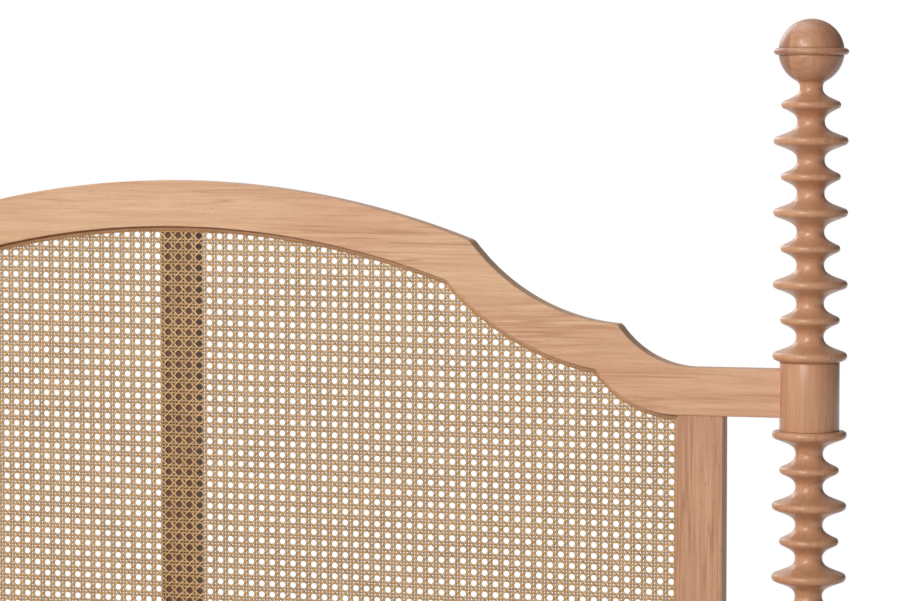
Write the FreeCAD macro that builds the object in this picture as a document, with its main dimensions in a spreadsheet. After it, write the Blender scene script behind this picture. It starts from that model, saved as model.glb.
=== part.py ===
import FreeCAD, Part
import math
import os
import types
import Sketcher
from FreeCAD import Vector

# Four-poster bed with a cane headboard, made for a queen mattress.
# Frame: +X to the right seen from the foot, +Y towards the head, +Z up.
# The origin is on the floor at the middle of the bed. All lengths are in millimetres.

SIZES = {
    # Mattress, and the room left round it inside the rails
    "mattress_width": 1524.0,
    "mattress_length": 2032.0,
    "side_gap": 9.5,
    "end_gap": 6.0,
    # Boards
    "frame_thickness": 28.0,
    "rail_thickness": 28.0,
    "rail_height": 180.0,
    "rail_floor_gap": 240.0,
    # Turned posts: blocks, necks and discs
    "leg_height": 160.0,
    "rail_block_height": 307.0,
    "crest_block_height": 80.5,
    "block_radius": 35.0,
    "neck_radius": 16.0,
    "top_neck_radius": 13.4,
    "disc_pitch": 41.9,
    "collar_above": 7.1,
    "collar_below": 4.7,
    "large_disc_radius": 43.5,
    "large_disc_rim": 9.4,
    "large_disc_flare": 13.3,
    "small_disc_radius": 34.7,
    "small_disc_rim": 8.2,
    "small_disc_flare": 11.4,
    # Bun foot and glide under each post
    "foot_base_radius": 30.0,
    "foot_radius": 40.0,
    "foot_flare": 15.0,
    "foot_band": 33.0,
    "glide_radius": 20.0,
    "glide_thickness": 5.0,
    # Ball finial with its ring and dowel
    "finial_rise": 61.9,
    "ball_radius": 38.3,
    "ring_radius": 43.7,
    "ring_thickness": 9.0,
    "dowel_radius": 8.0,
    "dowel_length": 22.0,
    # Crest rail: end rail, arch and the two coves on each side, set in from the post's middle.
    # The rise is that of the arch's ends, over the end rail.
    "end_rail_drop": 8.7,
    "end_rail_height": 56.5,
    "crest_rise": 146.3724,
    "arch_radius": 1057.0,
    "first_step_inset": 409.0,
    "first_cove_radius": 246.0,
    "second_step_inset": 227.5,
    "second_cove_radius": 113.0,
    "second_cove_inset": 134.0,
    # Opening for the cane, under the crest and between the stiles, set in the same way
    "crest_width": 56.0,
    "inner_arch_radius": 1018.0,
    "inner_first_step_inset": 438.0,
    "inner_first_cove_radius": 322.0,
    "inner_second_step_inset": 253.7,
    "inner_second_cove_radius": 120.0,
    "stile_inner_inset": 155.0,
    "stile_width": 54.5,
    # Rabbet for the cane, its backing frame and the ledge that shows
    "cane_recess": 12.0,
    "cane_thickness": 1.6,
    "rabbet_width": 12.0,
    "ledge_width": 5.0,
    "net_pitch_x": 94.0,
    "net_pitch_z": 92.0,
    "net_gap_radius": 34.0,
    "net_margin": 6.0,
    # Upright brace behind the cane
    "brace_width": 42.5,
    "brace_depth": 40.0,
    "brace_cane_gap": 0.6,
    "brace_lap": 40.0,
    # Tenons
    "housing_depth": 1.0,
    "tenon_thickness": 12.0,
    "tenon_shoulder": 8.0,
    "tenon_depth": 28.0,
    "stile_tenon_length": 25.0,
    "stile_tenon_inset": 15.0,
    # Hook and slot plates that join the side rails to the posts
    "plate_thickness": 3.0,
    "plate_width": 22.0,
    "plate_height": 140.0,
    "hook_height": 20.0,
    "hook_drop": 10.0,
    "hook_thickness": 5.0,
    "hook_lip": 4.0,
    "hook_spacing": 66.0,
    # Slats, ledgers and centre beam
    "ledger_offset": 60.0,
    "ledger_width": 25.0,
    "ledger_height": 30.0,
    "ledger_end_gap": 10.0,
    "slat_width": 70.0,
    "slat_thickness": 19.0,
    "slat_end_gap": 3.0,
    "slat_side_gap": 5.0,
    "beam_width": 38.0,
    "beam_height": 70.0,
    "bracket_thickness": 3.0,
    "bracket_depth": 40.0,
    "bracket_flange": 20.0,
    "bracket_top_gap": 5.0,
    # Centre legs with inserts and levelling feet
    "centre_leg_low": 28.0,
    "centre_leg_top_radius": 19.0,
    "centre_leg_low_radius": 15.0,
    "centre_leg_tenon_radius": 10.0,
    "centre_leg_tenon_length": 20.0,
    "insert_radius": 8.0,
    "insert_length": 14.0,
    "insert_flange_radius": 11.0,
    "insert_flange_thickness": 1.5,
    "stem_radius": 5.0,
    "stem_length": 71.0,
    "pad_radius": 20.0,
    "pad_edge": 4.0,
    "pad_height": 9.0,
    "pad_hub_radius": 9.0,
    "foot_travel": 12.0,
    # Clearances, and the overrun of a cut past a face
    "joint_clearance": 0.2,
    "thread_clearance": 0.05,
    "overrun": 5.0,
}

SLAT_COUNT = 14
MIDDLE_ROW_PITCH_COUNT = 12
TOP_ROW_PITCH_COUNT = 7
LOW_ROW_PITCH_COUNT = 1
NET_GAP_SIDE_COUNT = 8
# Turned work is drawn with flats; a multiple of four keeps a corner on each axis
TURNING_SIDE_COUNT = 12
# Bands of the ball, as shares of its radius: distance from the axis, then height over the middle
BALL_BELT_SHARE = 0.7071
BALL_CAP_SHARE = 0.25

doc = FreeCAD.newDocument("four_poster_bed")
sheet = doc.addObject("Spreadsheet::Sheet", "Sizes")
for row, (alias, number) in enumerate(SIZES.items(), start=1):
    sheet.set(f"A{row}", alias)
    sheet.set(f"B{row}", str(number))
    sheet.setAlias(f"B{row}", alias)
doc.recompute()


class Size:
    """A length, together with the sheet expression that it is worked out by."""

    def __init__(self, number, text):
        self.number = number
        self.text = text

    def __add__(self, other):
        other = as_size(other)
        return Size(self.number + other.number, f"({self.text} + {other.text})")

    def __sub__(self, other):
        other = as_size(other)
        return Size(self.number - other.number, f"({self.text} - {other.text})")

    def __mul__(self, factor):
        factor = as_size(factor)
        return Size(self.number * factor.number, f"({self.text} * {factor.text})")

    def __truediv__(self, divisor):
        divisor = as_size(divisor)
        return Size(self.number / divisor.number, f"({self.text} / {divisor.text})")

    def __neg__(self):
        return Size(-self.number, f"(-1 * {self.text})")


def as_size(value):
    return value if isinstance(value, Size) else Size(float(value), repr(float(value)))


def leg_of_triangle(hypotenuse, other_leg):
    """The second short side of a right-angled triangle."""
    square = hypotenuse * hypotenuse - other_leg * other_leg
    return Size(math.sqrt(square.number), f"sqrt({square.text})")


def fall_of_arc(radius, half_width):
    """How far an arc drops between its top and its ends."""
    return radius - leg_of_triangle(radius, half_width)


S = types.SimpleNamespace(**{alias: Size(getattr(sheet, alias), f"Sizes.{alias}") for alias in SIZES})
ZERO = as_size(0)

# Places that several pieces share
POST_X = S.mattress_width / 2 + S.side_gap + S.rail_thickness / 2
POST_Y = S.mattress_length / 2 + S.end_gap + S.frame_thickness / 2
RAIL_BLOCK_TOP = S.leg_height + S.rail_block_height
COLLAR_OVER_RAIL_BLOCK = RAIL_BLOCK_TOP + S.collar_above
COLLAR_UNDER_CREST_BLOCK = COLLAR_OVER_RAIL_BLOCK + S.disc_pitch * MIDDLE_ROW_PITCH_COUNT
CREST_BLOCK_LOW = COLLAR_UNDER_CREST_BLOCK + S.collar_below
CREST_BLOCK_TOP = CREST_BLOCK_LOW + S.crest_block_height
END_RAIL_TOP = CREST_BLOCK_TOP - S.end_rail_drop
END_RAIL_LOW = END_RAIL_TOP - S.end_rail_height
RAIL_TOP = S.rail_floor_gap + S.rail_height
FRONT = POST_Y - S.frame_thickness / 2
BACK = POST_Y + S.frame_thickness / 2
FIRST_STEP_X = POST_X - S.first_step_inset
SECOND_STEP_X = POST_X - S.second_step_inset
SECOND_COVE_X = POST_X - S.second_cove_inset
INNER_FIRST_STEP_X = POST_X - S.inner_first_step_inset
INNER_SECOND_STEP_X = POST_X - S.inner_second_step_inset
STILE_INNER_X = POST_X - S.stile_inner_inset
STILE_OUTER_X = STILE_INNER_X + S.stile_width
CANE_BACK = FRONT + S.cane_recess + S.cane_thickness
SHOULDER = leg_of_triangle(S.block_radius, S.frame_thickness / 2) - S.housing_depth
HOOK_SHOULDER = leg_of_triangle(S.block_radius, S.rail_thickness / 2) - S.housing_depth
TENON_END = S.block_radius - S.tenon_depth
RAIL_INNER_X = POST_X - S.rail_thickness / 2
SLAT_SEAT = S.rail_floor_gap + S.ledger_offset + S.ledger_height
BEAM_LOW = SLAT_SEAT - S.beam_height

SIDES = {"left": -1, "right": 1}
ENDS = {"foot": -1, "head": 1}
nodes = {}


def node(label, piece):
    piece.Label = label
    nodes[label] = piece
    return piece


def place(piece, x=ZERO, y=ZERO, z=ZERO):
    for axis, length in zip("xyz", (x, y, z)):
        piece.setExpression(f"Placement.Base.{axis}", as_size(length).text)
    return piece


def box(name, x_pair, y_pair, z_pair):
    """A block between two places on each axis, given in either order."""
    piece = doc.addObject("Part::Box", name)
    lows = []
    for side, (one, other) in zip(("Length", "Width", "Height"), (x_pair, y_pair, z_pair)):
        one, other = as_size(one), as_size(other)
        low, high = (one, other) if one.number < other.number else (other, one)
        piece.setExpression(side, (high - low).text)
        lows.append(low)
    return place(piece, *lows)


def cylinder(name, radius, low, high, x=ZERO, y=ZERO):
    piece = doc.addObject("Part::Cylinder", name)
    piece.setExpression("Radius", radius.text)
    piece.setExpression("Height", (as_size(high) - low).text)
    return place(piece, x, y, low)


def fuse(name, pieces):
    piece = doc.addObject("Part::MultiFuse", name)
    piece.Shapes = pieces
    return piece


def cut(name, base, tools):
    tool = tools[0] if len(tools) == 1 else fuse(f"{name}_cuts", tools)
    piece = doc.addObject("Part::Cut", name)
    piece.Base = base
    piece.Tool = tool
    return piece


def group(name, pieces):
    piece = doc.addObject("Part::Compound", name)
    piece.Links = pieces
    return piece


def spread(half_width, middle=ZERO):
    """Two places at the same distance each side of a middle."""
    return as_size(middle) - half_width, as_size(middle) + half_width


def fix_corner(sketch, geometry, end, x, y):
    """Hold one sketch point at two bound distances from the sketch's origin."""
    for kind, length, axis in (("DistanceX", x, -2), ("DistanceY", y, -1)):
        if length.number == 0:
            sketch.addConstraint(Sketcher.Constraint("PointOnObject", geometry, end, axis))
            continue
        if length.number > 0:
            rule = Sketcher.Constraint(kind, -1, 1, geometry, end, length.number)
        else:
            length = -length
            rule = Sketcher.Constraint(kind, geometry, end, -1, 1, length.number)
        index = sketch.addConstraint(rule)
        sketch.setExpression(f"Constraints[{index}]", length.text)


def draw_outline(sketch, corners, arcs=None):
    """Close an outline through the corners.

    arcs gives, for the edge that starts at a corner, its radius and whether it turns
    anticlockwise. Every other edge is straight.
    """
    arcs = arcs or {}
    count = len(corners)
    starts, ends = [], []
    for index in range(count):
        first = Vector(corners[index][0].number, corners[index][1].number)
        last = Vector(corners[(index + 1) % count][0].number, corners[(index + 1) % count][1].number)
        if index not in arcs:
            geometry = sketch.addGeometry(Part.LineSegment(first, last), False)
            starts.append((geometry, 1))
            ends.append((geometry, 2))
            continue
        radius, anticlockwise = arcs[index]
        chord = last - first
        side = 1 if anticlockwise else -1
        offset = math.sqrt(radius.number**2 - (chord.Length / 2) ** 2) * side
        normal = Vector(-chord.y, chord.x).normalize()
        centre = (first + last) / 2 + normal * offset
        from_point, to_point = (first, last) if anticlockwise else (last, first)
        angles = [math.atan2(p.y - centre.y, p.x - centre.x) for p in (from_point, to_point)]
        circle = Part.Circle(centre, Vector(0, 0, 1), radius.number)
        geometry = sketch.addGeometry(Part.ArcOfCircle(circle, angles[0], angles[1]), False)
        index_of_rule = sketch.addConstraint(Sketcher.Constraint("Radius", geometry, radius.number))
        sketch.setExpression(f"Constraints[{index_of_rule}]", radius.text)
        starts.append((geometry, 1 if anticlockwise else 2))
        ends.append((geometry, 2 if anticlockwise else 1))
    for index in range(count):
        fix_corner(sketch, *starts[index], *corners[index])
        following = starts[(index + 1) % count]
        sketch.addConstraint(Sketcher.Constraint("Coincident", *ends[index], *following))


def flat_sided(name, radius, low, high, x=ZERO, y=ZERO):
    """A straight turned length, drawn with flats."""
    piece = doc.addObject("Part::Prism", name)
    piece.Polygon = TURNING_SIDE_COUNT
    piece.setExpression("Circumradius", radius.text)
    piece.setExpression("Height", (as_size(high) - low).text)
    return place(piece, x, y, low)


def turn(name, profile, x=ZERO, y=ZERO):
    """Turned work with flats: a ring at each radius and level of the profile, joined in order."""
    turns = [side * math.tau / TURNING_SIDE_COUNT for side in range(TURNING_SIDE_COUNT)]
    rings = []
    for radius, level in profile:
        far, high = as_size(radius).number, as_size(level).number
        rings.append([Vector(far * math.cos(a), far * math.sin(a), high) for a in turns])
    outlines = [rings[0], rings[-1]]
    for lower, upper in zip(rings, rings[1:]):
        for side in range(TURNING_SIDE_COUNT):
            following = (side + 1) % TURNING_SIDE_COUNT
            outlines.append([lower[side], lower[following], upper[following], upper[side]])
    faces = [Part.Face(Part.makePolygon(outline + outline[:1])) for outline in outlines]
    solid = Part.Solid(Part.Shell(faces))
    if solid.Volume < 0:
        solid.reverse()
    turning = doc.addObject("Part::Feature", name)
    turning.Shape = solid
    return place(turning, x, y)


def disc(radius, rim, flare, level, neck_below, neck_above):
    """Profile of one turned disc: a flare up from the neck, the rim, and a flare back."""
    return [
        (neck_below, level - flare),
        (radius, level - rim / 2),
        (radius, level + rim / 2),
        (neck_above, level + flare),
    ]


def discs(first_level, pitches, small_first=False, last_neck=S.neck_radius):
    """Profile of large and small discs in turn, from the lowest up."""
    profile = []
    for index in range(pitches + 1):
        level = first_level + S.disc_pitch * index
        neck_above = last_neck if index == pitches else S.neck_radius
        if (index % 2 == 1) != small_first:
            profile += disc(
                S.small_disc_radius, S.small_disc_rim, S.small_disc_flare, level,
                S.neck_radius, neck_above,
            )
        else:
            profile += disc(
                S.large_disc_radius, S.large_disc_rim, S.large_disc_flare, level,
                S.neck_radius, neck_above,
            )
    return profile


def top_block_level(end):
    return CREST_BLOCK_TOP if end == "head" else RAIL_BLOCK_TOP


def ball_centre_level(end):
    return top_block_level(end) + S.collar_above + S.disc_pitch * TOP_ROW_PITCH_COUNT + S.finial_rise


BALL_TO_SEAT = leg_of_triangle(S.ball_radius, S.top_neck_radius)


def turned_post(name, end, x, y):
    """A whole post in one turning, from its bun foot to the neck that carries the ball."""
    foot_low = S.glide_thickness
    band_low = foot_low + S.foot_flare
    band_top = band_low + S.foot_band
    profile = [
        (S.foot_base_radius, foot_low),
        (S.foot_radius, band_low),
        (S.foot_radius, band_top),
        (S.neck_radius, band_top + S.foot_flare),
    ]
    under_block = S.leg_height - S.collar_below - S.disc_pitch * LOW_ROW_PITCH_COUNT
    profile += discs(under_block, LOW_ROW_PITCH_COUNT, small_first=True)
    if end == "head":
        profile += discs(COLLAR_OVER_RAIL_BLOCK, MIDDLE_ROW_PITCH_COUNT)
    top_collar = top_block_level(end) + S.collar_above
    profile += discs(top_collar, TOP_ROW_PITCH_COUNT, last_neck=S.top_neck_radius)
    profile.append((S.top_neck_radius, ball_centre_level(end) - BALL_TO_SEAT))
    pieces = [
        turn(f"{name}_turning", profile, x, y),
        cylinder(f"{name}_rail_block", S.block_radius, S.leg_height, RAIL_BLOCK_TOP, x, y),
    ]
    if end == "head":
        pieces.append(
            cylinder(f"{name}_crest_block", S.block_radius, CREST_BLOCK_LOW, CREST_BLOCK_TOP, x, y)
        )
    return fuse(f"{name}_blank", pieces)


def tenon_socket(name, x, y, side, low, high, clear=ZERO):
    """The space that a rail's end takes in a post: a shallow housing, and a mortise past it."""
    mortise_low = low + S.tenon_shoulder - clear
    mortise_high = high - S.tenon_shoulder + clear
    housing = box(
        f"{name}_housing",
        (x - SHOULDER * side, x - (S.block_radius + S.overrun) * side),
        spread(S.frame_thickness / 2, y),
        (low, high),
    )
    mortise = box(
        f"{name}_mortise",
        (x - (TENON_END - clear) * side, x - (SHOULDER + S.overrun) * side),
        spread(S.tenon_thickness / 2 + clear, y),
        (mortise_low, mortise_high),
    )
    return [housing, mortise]


def plate_hooks(low):
    """Bottom levels of the two hooks on a rail's end plate."""
    middle = low + S.rail_height / 2
    return [middle - S.hook_spacing / 2 - S.hook_height / 2, middle + S.hook_spacing / 2 - S.hook_height / 2]


def hook_socket(name, x, y, end):
    """Housing, plate recess and hook cavity that a side rail needs in a post."""
    low, high = S.rail_floor_gap, RAIL_TOP
    hooks = plate_hooks(low)
    clear = S.joint_clearance
    plate_back = HOOK_SHOULDER - S.plate_thickness
    cavity_end = plate_back - S.hook_lip - S.plate_thickness
    housing = box(
        f"{name}_rail_housing",
        spread(S.rail_thickness / 2, x),
        (y - HOOK_SHOULDER * end, y - (S.block_radius + S.overrun) * end),
        (low, high),
    )
    recess = box(
        f"{name}_plate_recess",
        spread(S.plate_width / 2, x),
        (y - plate_back * end, y - (HOOK_SHOULDER + S.overrun) * end),
        spread(S.plate_height / 2, low + S.rail_height / 2),
    )
    cavity = box(
        f"{name}_hook_cavity",
        spread(S.hook_thickness / 2 + clear * 2, x),
        (y - cavity_end * end, y - HOOK_SHOULDER * end),
        (hooks[0] - S.hook_drop - clear, hooks[1] + S.hook_height + S.hook_drop + clear),
    )
    return [housing, recess, cavity]


# Posts, with the holes for finials and the sockets for rails
for end_name, end in ENDS.items():
    for side_name, side in SIDES.items():
        label = f"{end_name}_post_{side_name}"
        x, y = POST_X * side, POST_Y * end
        turning = turned_post(label, end_name, x, y)
        seat = ball_centre_level(end_name) - BALL_TO_SEAT
        tools = [
            flat_sided(
                f"{label}_dowel_hole", S.dowel_radius + S.thread_clearance,
                seat - S.dowel_length - S.joint_clearance, seat + S.overrun, x, y,
            )
        ]
        tools += hook_socket(label, x, y, end)
        cross_rail = f"{label}_low_rail"
        tools += tenon_socket(cross_rail, x, y, side, S.rail_floor_gap, RAIL_TOP, S.joint_clearance)
        if end_name == "head":
            crest_end = f"{label}_crest"
            tools += tenon_socket(crest_end, x, y, side, END_RAIL_LOW, END_RAIL_TOP, S.joint_clearance)
        node(label, cut(f"{label}_cut", turning, tools))


def ball_finial(name, end, x, y):
    """A turned ball with a raised ring, and the dowel that stands in the post."""
    middle = ball_centre_level(end)
    seat = middle - BALL_TO_SEAT
    belt = S.ball_radius * BALL_BELT_SHARE
    half_ring = S.ring_thickness / 2
    ball = turn(
        f"{name}_ball",
        [
            (S.top_neck_radius, seat),
            (belt, middle - belt),
            (S.ball_radius, middle - half_ring),
            (S.ball_radius, middle + half_ring),
            (belt, middle + belt),
            (S.ball_radius * BALL_CAP_SHARE, middle + S.ball_radius),
        ],
        x, y,
    )
    ring = flat_sided(f"{name}_ring", S.ring_radius, middle - half_ring, middle + half_ring, x, y)
    dowel = flat_sided(f"{name}_dowel", S.dowel_radius, seat - S.dowel_length, middle, x, y)
    return fuse(name, [ball, ring, dowel])


corners_of_bed = [
    (f"{end_name}_{side_name}", end_name, POST_X * side, POST_Y * end)
    for end_name, end in ENDS.items()
    for side_name, side in SIDES.items()
]
finials = [ball_finial(f"finial_{name}", end, x, y) for name, end, x, y in corners_of_bed]
node("post_finials", group("finial_group", finials))
glides = [
    flat_sided(f"glide_{name}", S.glide_radius, ZERO, S.glide_thickness, x, y)
    for name, end, x, y in corners_of_bed
]
node("post_glides", group("glide_group", glides))


def board_with_tenons(name, body, y, low, high):
    """Add to a cross board the tenon at each of its ends."""
    pieces = [body]
    for side_name, side in SIDES.items():
        pieces.append(
            box(
                f"{name}_tenon_{side_name}",
                ((POST_X - TENON_END) * side, (POST_X - SHOULDER) * side),
                spread(S.tenon_thickness / 2, y),
                (low + S.tenon_shoulder, high - S.tenon_shoulder),
            )
        )
    return fuse(f"{name}_board", pieces)


# Headboard plane: sketches drawn as X and Z, standing at the front face and pushed back from it
def upright_sketch(name, corners, arcs):
    sketch = doc.addObject("Sketcher::SketchObject", name)
    sketch.Placement = FreeCAD.Placement(Vector(), FreeCAD.Rotation(Vector(1, 0, 0), 90))
    sketch.setExpression("Placement.Base.y", FRONT.text)
    draw_outline(sketch, corners, arcs)
    return sketch


def push_back(name, outline, near, far):
    """The solid behind an outline, between two depths measured from the front face."""
    piece = doc.addObject("Part::Extrusion", name)
    piece.Base = outline
    piece.DirMode = "Custom"
    piece.Dir = Vector(0, 1, 0)
    piece.setExpression("LengthFwd", as_size(far).text)
    piece.setExpression("LengthRev", (-as_size(near)).text)
    piece.Solid = True
    return piece


def widen(name, outline, distance):
    piece = doc.addObject("Part::Offset2D", name)
    piece.Source = outline
    piece.setExpression("Value", distance.text)
    piece.Join = "Tangent"
    return piece


FIRST_STEP_Z = END_RAIL_TOP + S.crest_rise
CREST_APEX = FIRST_STEP_Z + fall_of_arc(S.arch_radius, FIRST_STEP_X)
SECOND_STEP_Z = (
    END_RAIL_TOP
    + S.second_cove_radius
    - leg_of_triangle(S.second_cove_radius, SECOND_COVE_X - SECOND_STEP_X)
)
SHOULDER_X = POST_X - SHOULDER
crest_outline = upright_sketch(
    "crest_outline",
    [
        (-SHOULDER_X, END_RAIL_LOW),
        (-SHOULDER_X, END_RAIL_TOP),
        (-SECOND_COVE_X, END_RAIL_TOP),
        (-SECOND_STEP_X, SECOND_STEP_Z),
        (-FIRST_STEP_X, FIRST_STEP_Z),
        (FIRST_STEP_X, FIRST_STEP_Z),
        (SECOND_STEP_X, SECOND_STEP_Z),
        (SECOND_COVE_X, END_RAIL_TOP),
        (SHOULDER_X, END_RAIL_TOP),
        (SHOULDER_X, END_RAIL_LOW),
    ],
    {
        2: (S.second_cove_radius, True),
        3: (S.first_cove_radius, True),
        4: (S.arch_radius, False),
        5: (S.first_cove_radius, True),
        6: (S.second_cove_radius, True),
    },
)
INNER_APEX = CREST_APEX - S.crest_width
INNER_FIRST_STEP_Z = INNER_APEX - fall_of_arc(S.inner_arch_radius, INNER_FIRST_STEP_X)
INNER_SECOND_STEP_Z = (
    END_RAIL_LOW
    + S.inner_second_cove_radius
    - leg_of_triangle(S.inner_second_cove_radius, STILE_INNER_X - INNER_SECOND_STEP_X)
)
opening_outline = upright_sketch(
    "opening_outline",
    [
        (-STILE_INNER_X, RAIL_TOP),
        (-STILE_INNER_X, END_RAIL_LOW),
        (-INNER_SECOND_STEP_X, INNER_SECOND_STEP_Z),
        (-INNER_FIRST_STEP_X, INNER_FIRST_STEP_Z),
        (INNER_FIRST_STEP_X, INNER_FIRST_STEP_Z),
        (INNER_SECOND_STEP_X, INNER_SECOND_STEP_Z),
        (STILE_INNER_X, END_RAIL_LOW),
        (STILE_INNER_X, RAIL_TOP),
    ],
    {
        1: (S.inner_second_cove_radius, True),
        2: (S.inner_first_cove_radius, True),
        3: (S.inner_arch_radius, False),
        4: (S.inner_first_cove_radius, True),
        5: (S.inner_second_cove_radius, True),
    },
)
rabbet_outline = widen("rabbet_outline", opening_outline, S.rabbet_width)
opening_space = push_back("opening_space", opening_outline, -S.overrun, S.frame_thickness + S.overrun)
rabbet_space = push_back("rabbet_space", rabbet_outline, S.cane_recess, S.frame_thickness + S.overrun)


def stile_tenon(name, side, end_level, into, clear=ZERO):
    """A stile's tenon, or with a clearance its mortise, from the shoulder into the rail."""
    reach = (S.stile_tenon_length + clear) * into
    return box(
        name,
        (
            (STILE_INNER_X + S.stile_tenon_inset - clear) * side,
            (STILE_OUTER_X - S.tenon_shoulder + clear) * side,
        ),
        spread(S.tenon_thickness / 2 + clear, POST_Y),
        (end_level, end_level + reach),
    )


crest_board = board_with_tenons(
    "crest",
    push_back("crest_blank", crest_outline, ZERO, S.frame_thickness),
    POST_Y, END_RAIL_LOW, END_RAIL_TOP,
)
crest_cuts = [opening_space, rabbet_space]
low_rail_cuts = [rabbet_space]
for side_name, side in SIDES.items():
    crest_cuts.append(
        stile_tenon(f"crest_mortise_{side_name}", side, END_RAIL_LOW, 1, S.joint_clearance)
    )
    low_rail_cuts.append(
        stile_tenon(f"low_rail_mortise_{side_name}", side, RAIL_TOP, -1, S.joint_clearance)
    )
node("crest_rail", cut("crest_shaped", crest_board, crest_cuts))

low_rail_board = board_with_tenons(
    "head_low_rail",
    box(
        "head_low_rail_blank", spread(SHOULDER_X), spread(S.frame_thickness / 2, POST_Y),
        (S.rail_floor_gap, RAIL_TOP),
    ),
    POST_Y, S.rail_floor_gap, RAIL_TOP,
)
node("head_lower_rail", cut("head_low_rail_shaped", low_rail_board, low_rail_cuts))

foot_rail_board = board_with_tenons(
    "foot_rail",
    box(
        "foot_rail_blank", spread(SHOULDER_X), spread(S.frame_thickness / 2, -POST_Y),
        (S.rail_floor_gap, RAIL_TOP),
    ),
    -POST_Y, S.rail_floor_gap, RAIL_TOP,
)
node("foot_rail", foot_rail_board)

for side_name, side in SIDES.items():
    blank = box(
        f"stile_blank_{side_name}",
        (STILE_INNER_X * side, STILE_OUTER_X * side),
        (FRONT, BACK),
        (RAIL_TOP, END_RAIL_LOW),
    )
    tenons = [
        stile_tenon(f"stile_tenon_top_{side_name}", side, END_RAIL_LOW, 1),
        stile_tenon(f"stile_tenon_low_{side_name}", side, RAIL_TOP, -1),
    ]
    stile = fuse(f"stile_board_{side_name}", [blank, *tenons])
    node(f"head_stile_{side_name}", cut(f"stile_shaped_{side_name}", stile, [rabbet_space]))

# Backing frame in the rabbet behind the cane, in two halves that leave room for the brace
frame_outline = widen("frame_outline", opening_outline, S.rabbet_width - S.joint_clearance)
ledge_outline = widen("ledge_outline", opening_outline, -S.ledge_width)
frame_blank = push_back(
    "frame_blank", frame_outline, S.cane_recess + S.cane_thickness, S.frame_thickness
)
frame_hole = push_back("frame_hole", ledge_outline, ZERO, S.frame_thickness + S.overrun)
frame_ring = cut("frame_ring", frame_blank, [frame_hole])
for side_name, side in SIDES.items():
    half = box(
        f"frame_half_{side_name}",
        ((S.brace_width / 2 + S.joint_clearance) * side, STILE_OUTER_X * side),
        (FRONT, BACK + S.overrun),
        (S.rail_floor_gap, CREST_APEX),
    )
    piece = doc.addObject("Part::Common", f"frame_piece_{side_name}")
    piece.Base = frame_ring
    piece.Tool = half
    node(f"cane_frame_{side_name}", piece)

# Upright brace: a batten in the opening, with a back part that laps over both rails
BRACE_FRONT = CANE_BACK + S.brace_cane_gap
BRACE_BACK = BRACE_FRONT + S.brace_depth
rabbet_apex = INNER_APEX + S.rabbet_width
arch_fall = fall_of_arc(S.inner_arch_radius, S.brace_width / 2)
brace_batten = box(
    "brace_batten",
    spread(S.brace_width / 2),
    (BRACE_FRONT, BRACE_BACK),
    (RAIL_TOP - S.rabbet_width + S.joint_clearance, rabbet_apex - arch_fall - S.joint_clearance),
)
brace_laps = box(
    "brace_laps",
    spread(S.brace_width / 2),
    (BACK, BRACE_BACK),
    (RAIL_TOP - S.brace_lap, INNER_APEX + S.brace_lap),
)
node("centre_brace", fuse("brace", [brace_batten, brace_laps]))


def closed_wire(outline):
    return Part.Wire(Part.sortEdges(outline.Shape.Edges)[0])


# Cane panel: one sheet with rows of eight-sided gaps, kept inside the opening
def cane_sheet():
    outline = widen("cane_outline", opening_outline, S.rabbet_width - S.joint_clearance)
    inner_limit = widen("cane_gap_limit", opening_outline, -(S.net_gap_radius + S.net_margin))
    doc.recompute()
    field = Part.Face(closed_wire(inner_limit))
    radius = S.net_gap_radius.number
    depth = FRONT.number
    wires = [closed_wire(outline)]
    columns = int(STILE_INNER_X.number / S.net_pitch_x.number) + 1
    rows = int((INNER_APEX - RAIL_TOP).number / S.net_pitch_z.number) + 1
    low = (RAIL_TOP + S.net_margin + S.net_gap_radius).number
    for column in range(-columns, columns + 1):
        for row in range(rows):
            x = column * S.net_pitch_x.number
            z = low + (row + 0.5) * S.net_pitch_z.number - S.net_gap_radius.number
            if not field.isInside(Vector(x, depth, z), S.joint_clearance.number, True):
                continue
            turns = [(side + 0.5) * math.tau / NET_GAP_SIDE_COUNT for side in range(NET_GAP_SIDE_COUNT)]
            ring = [Vector(x + radius * math.cos(a), depth, z + radius * math.sin(a)) for a in turns]
            wires.append(Part.makePolygon(ring + ring[:1]))
    face = Part.Face(wires, "Part::FaceMakerBullseye")
    sheet_of_cane = doc.addObject("Part::Feature", "cane_sheet")
    sheet_of_cane.Shape = face.extrude(Vector(0, S.cane_thickness.number, 0))
    sheet_of_cane.Placement = FreeCAD.Placement(Vector(0, S.cane_recess.number, 0), FreeCAD.Rotation())
    return sheet_of_cane


node("cane_panel", cane_sheet())

# Side rails with recesses for the hook plates, and ledgers for the slats
RAIL_END = POST_Y - HOOK_SHOULDER
PLATE_MIDDLE = S.rail_floor_gap + S.rail_height / 2
for side_name, side in SIDES.items():
    blank = box(
        f"side_rail_blank_{side_name}",
        spread(S.rail_thickness / 2, POST_X * side),
        spread(RAIL_END),
        (S.rail_floor_gap, RAIL_TOP),
    )
    recesses = [
        box(
            f"side_rail_recess_{side_name}_{end_name}",
            spread(S.plate_width / 2, POST_X * side),
            ((RAIL_END - S.plate_thickness) * end, (RAIL_END + S.overrun) * end),
            spread(S.plate_height / 2, PLATE_MIDDLE),
        )
        for end_name, end in ENDS.items()
    ]
    node(f"side_rail_{side_name}", cut(f"side_rail_cut_{side_name}", blank, recesses))
    ledger = box(
        f"ledger_{side_name}",
        ((RAIL_INNER_X - S.ledger_width) * side, RAIL_INNER_X * side),
        spread(POST_Y - S.block_radius - S.ledger_end_gap),
        (SLAT_SEAT - S.ledger_height, SLAT_SEAT),
    )
    node(f"slat_ledger_{side_name}", ledger)


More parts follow.
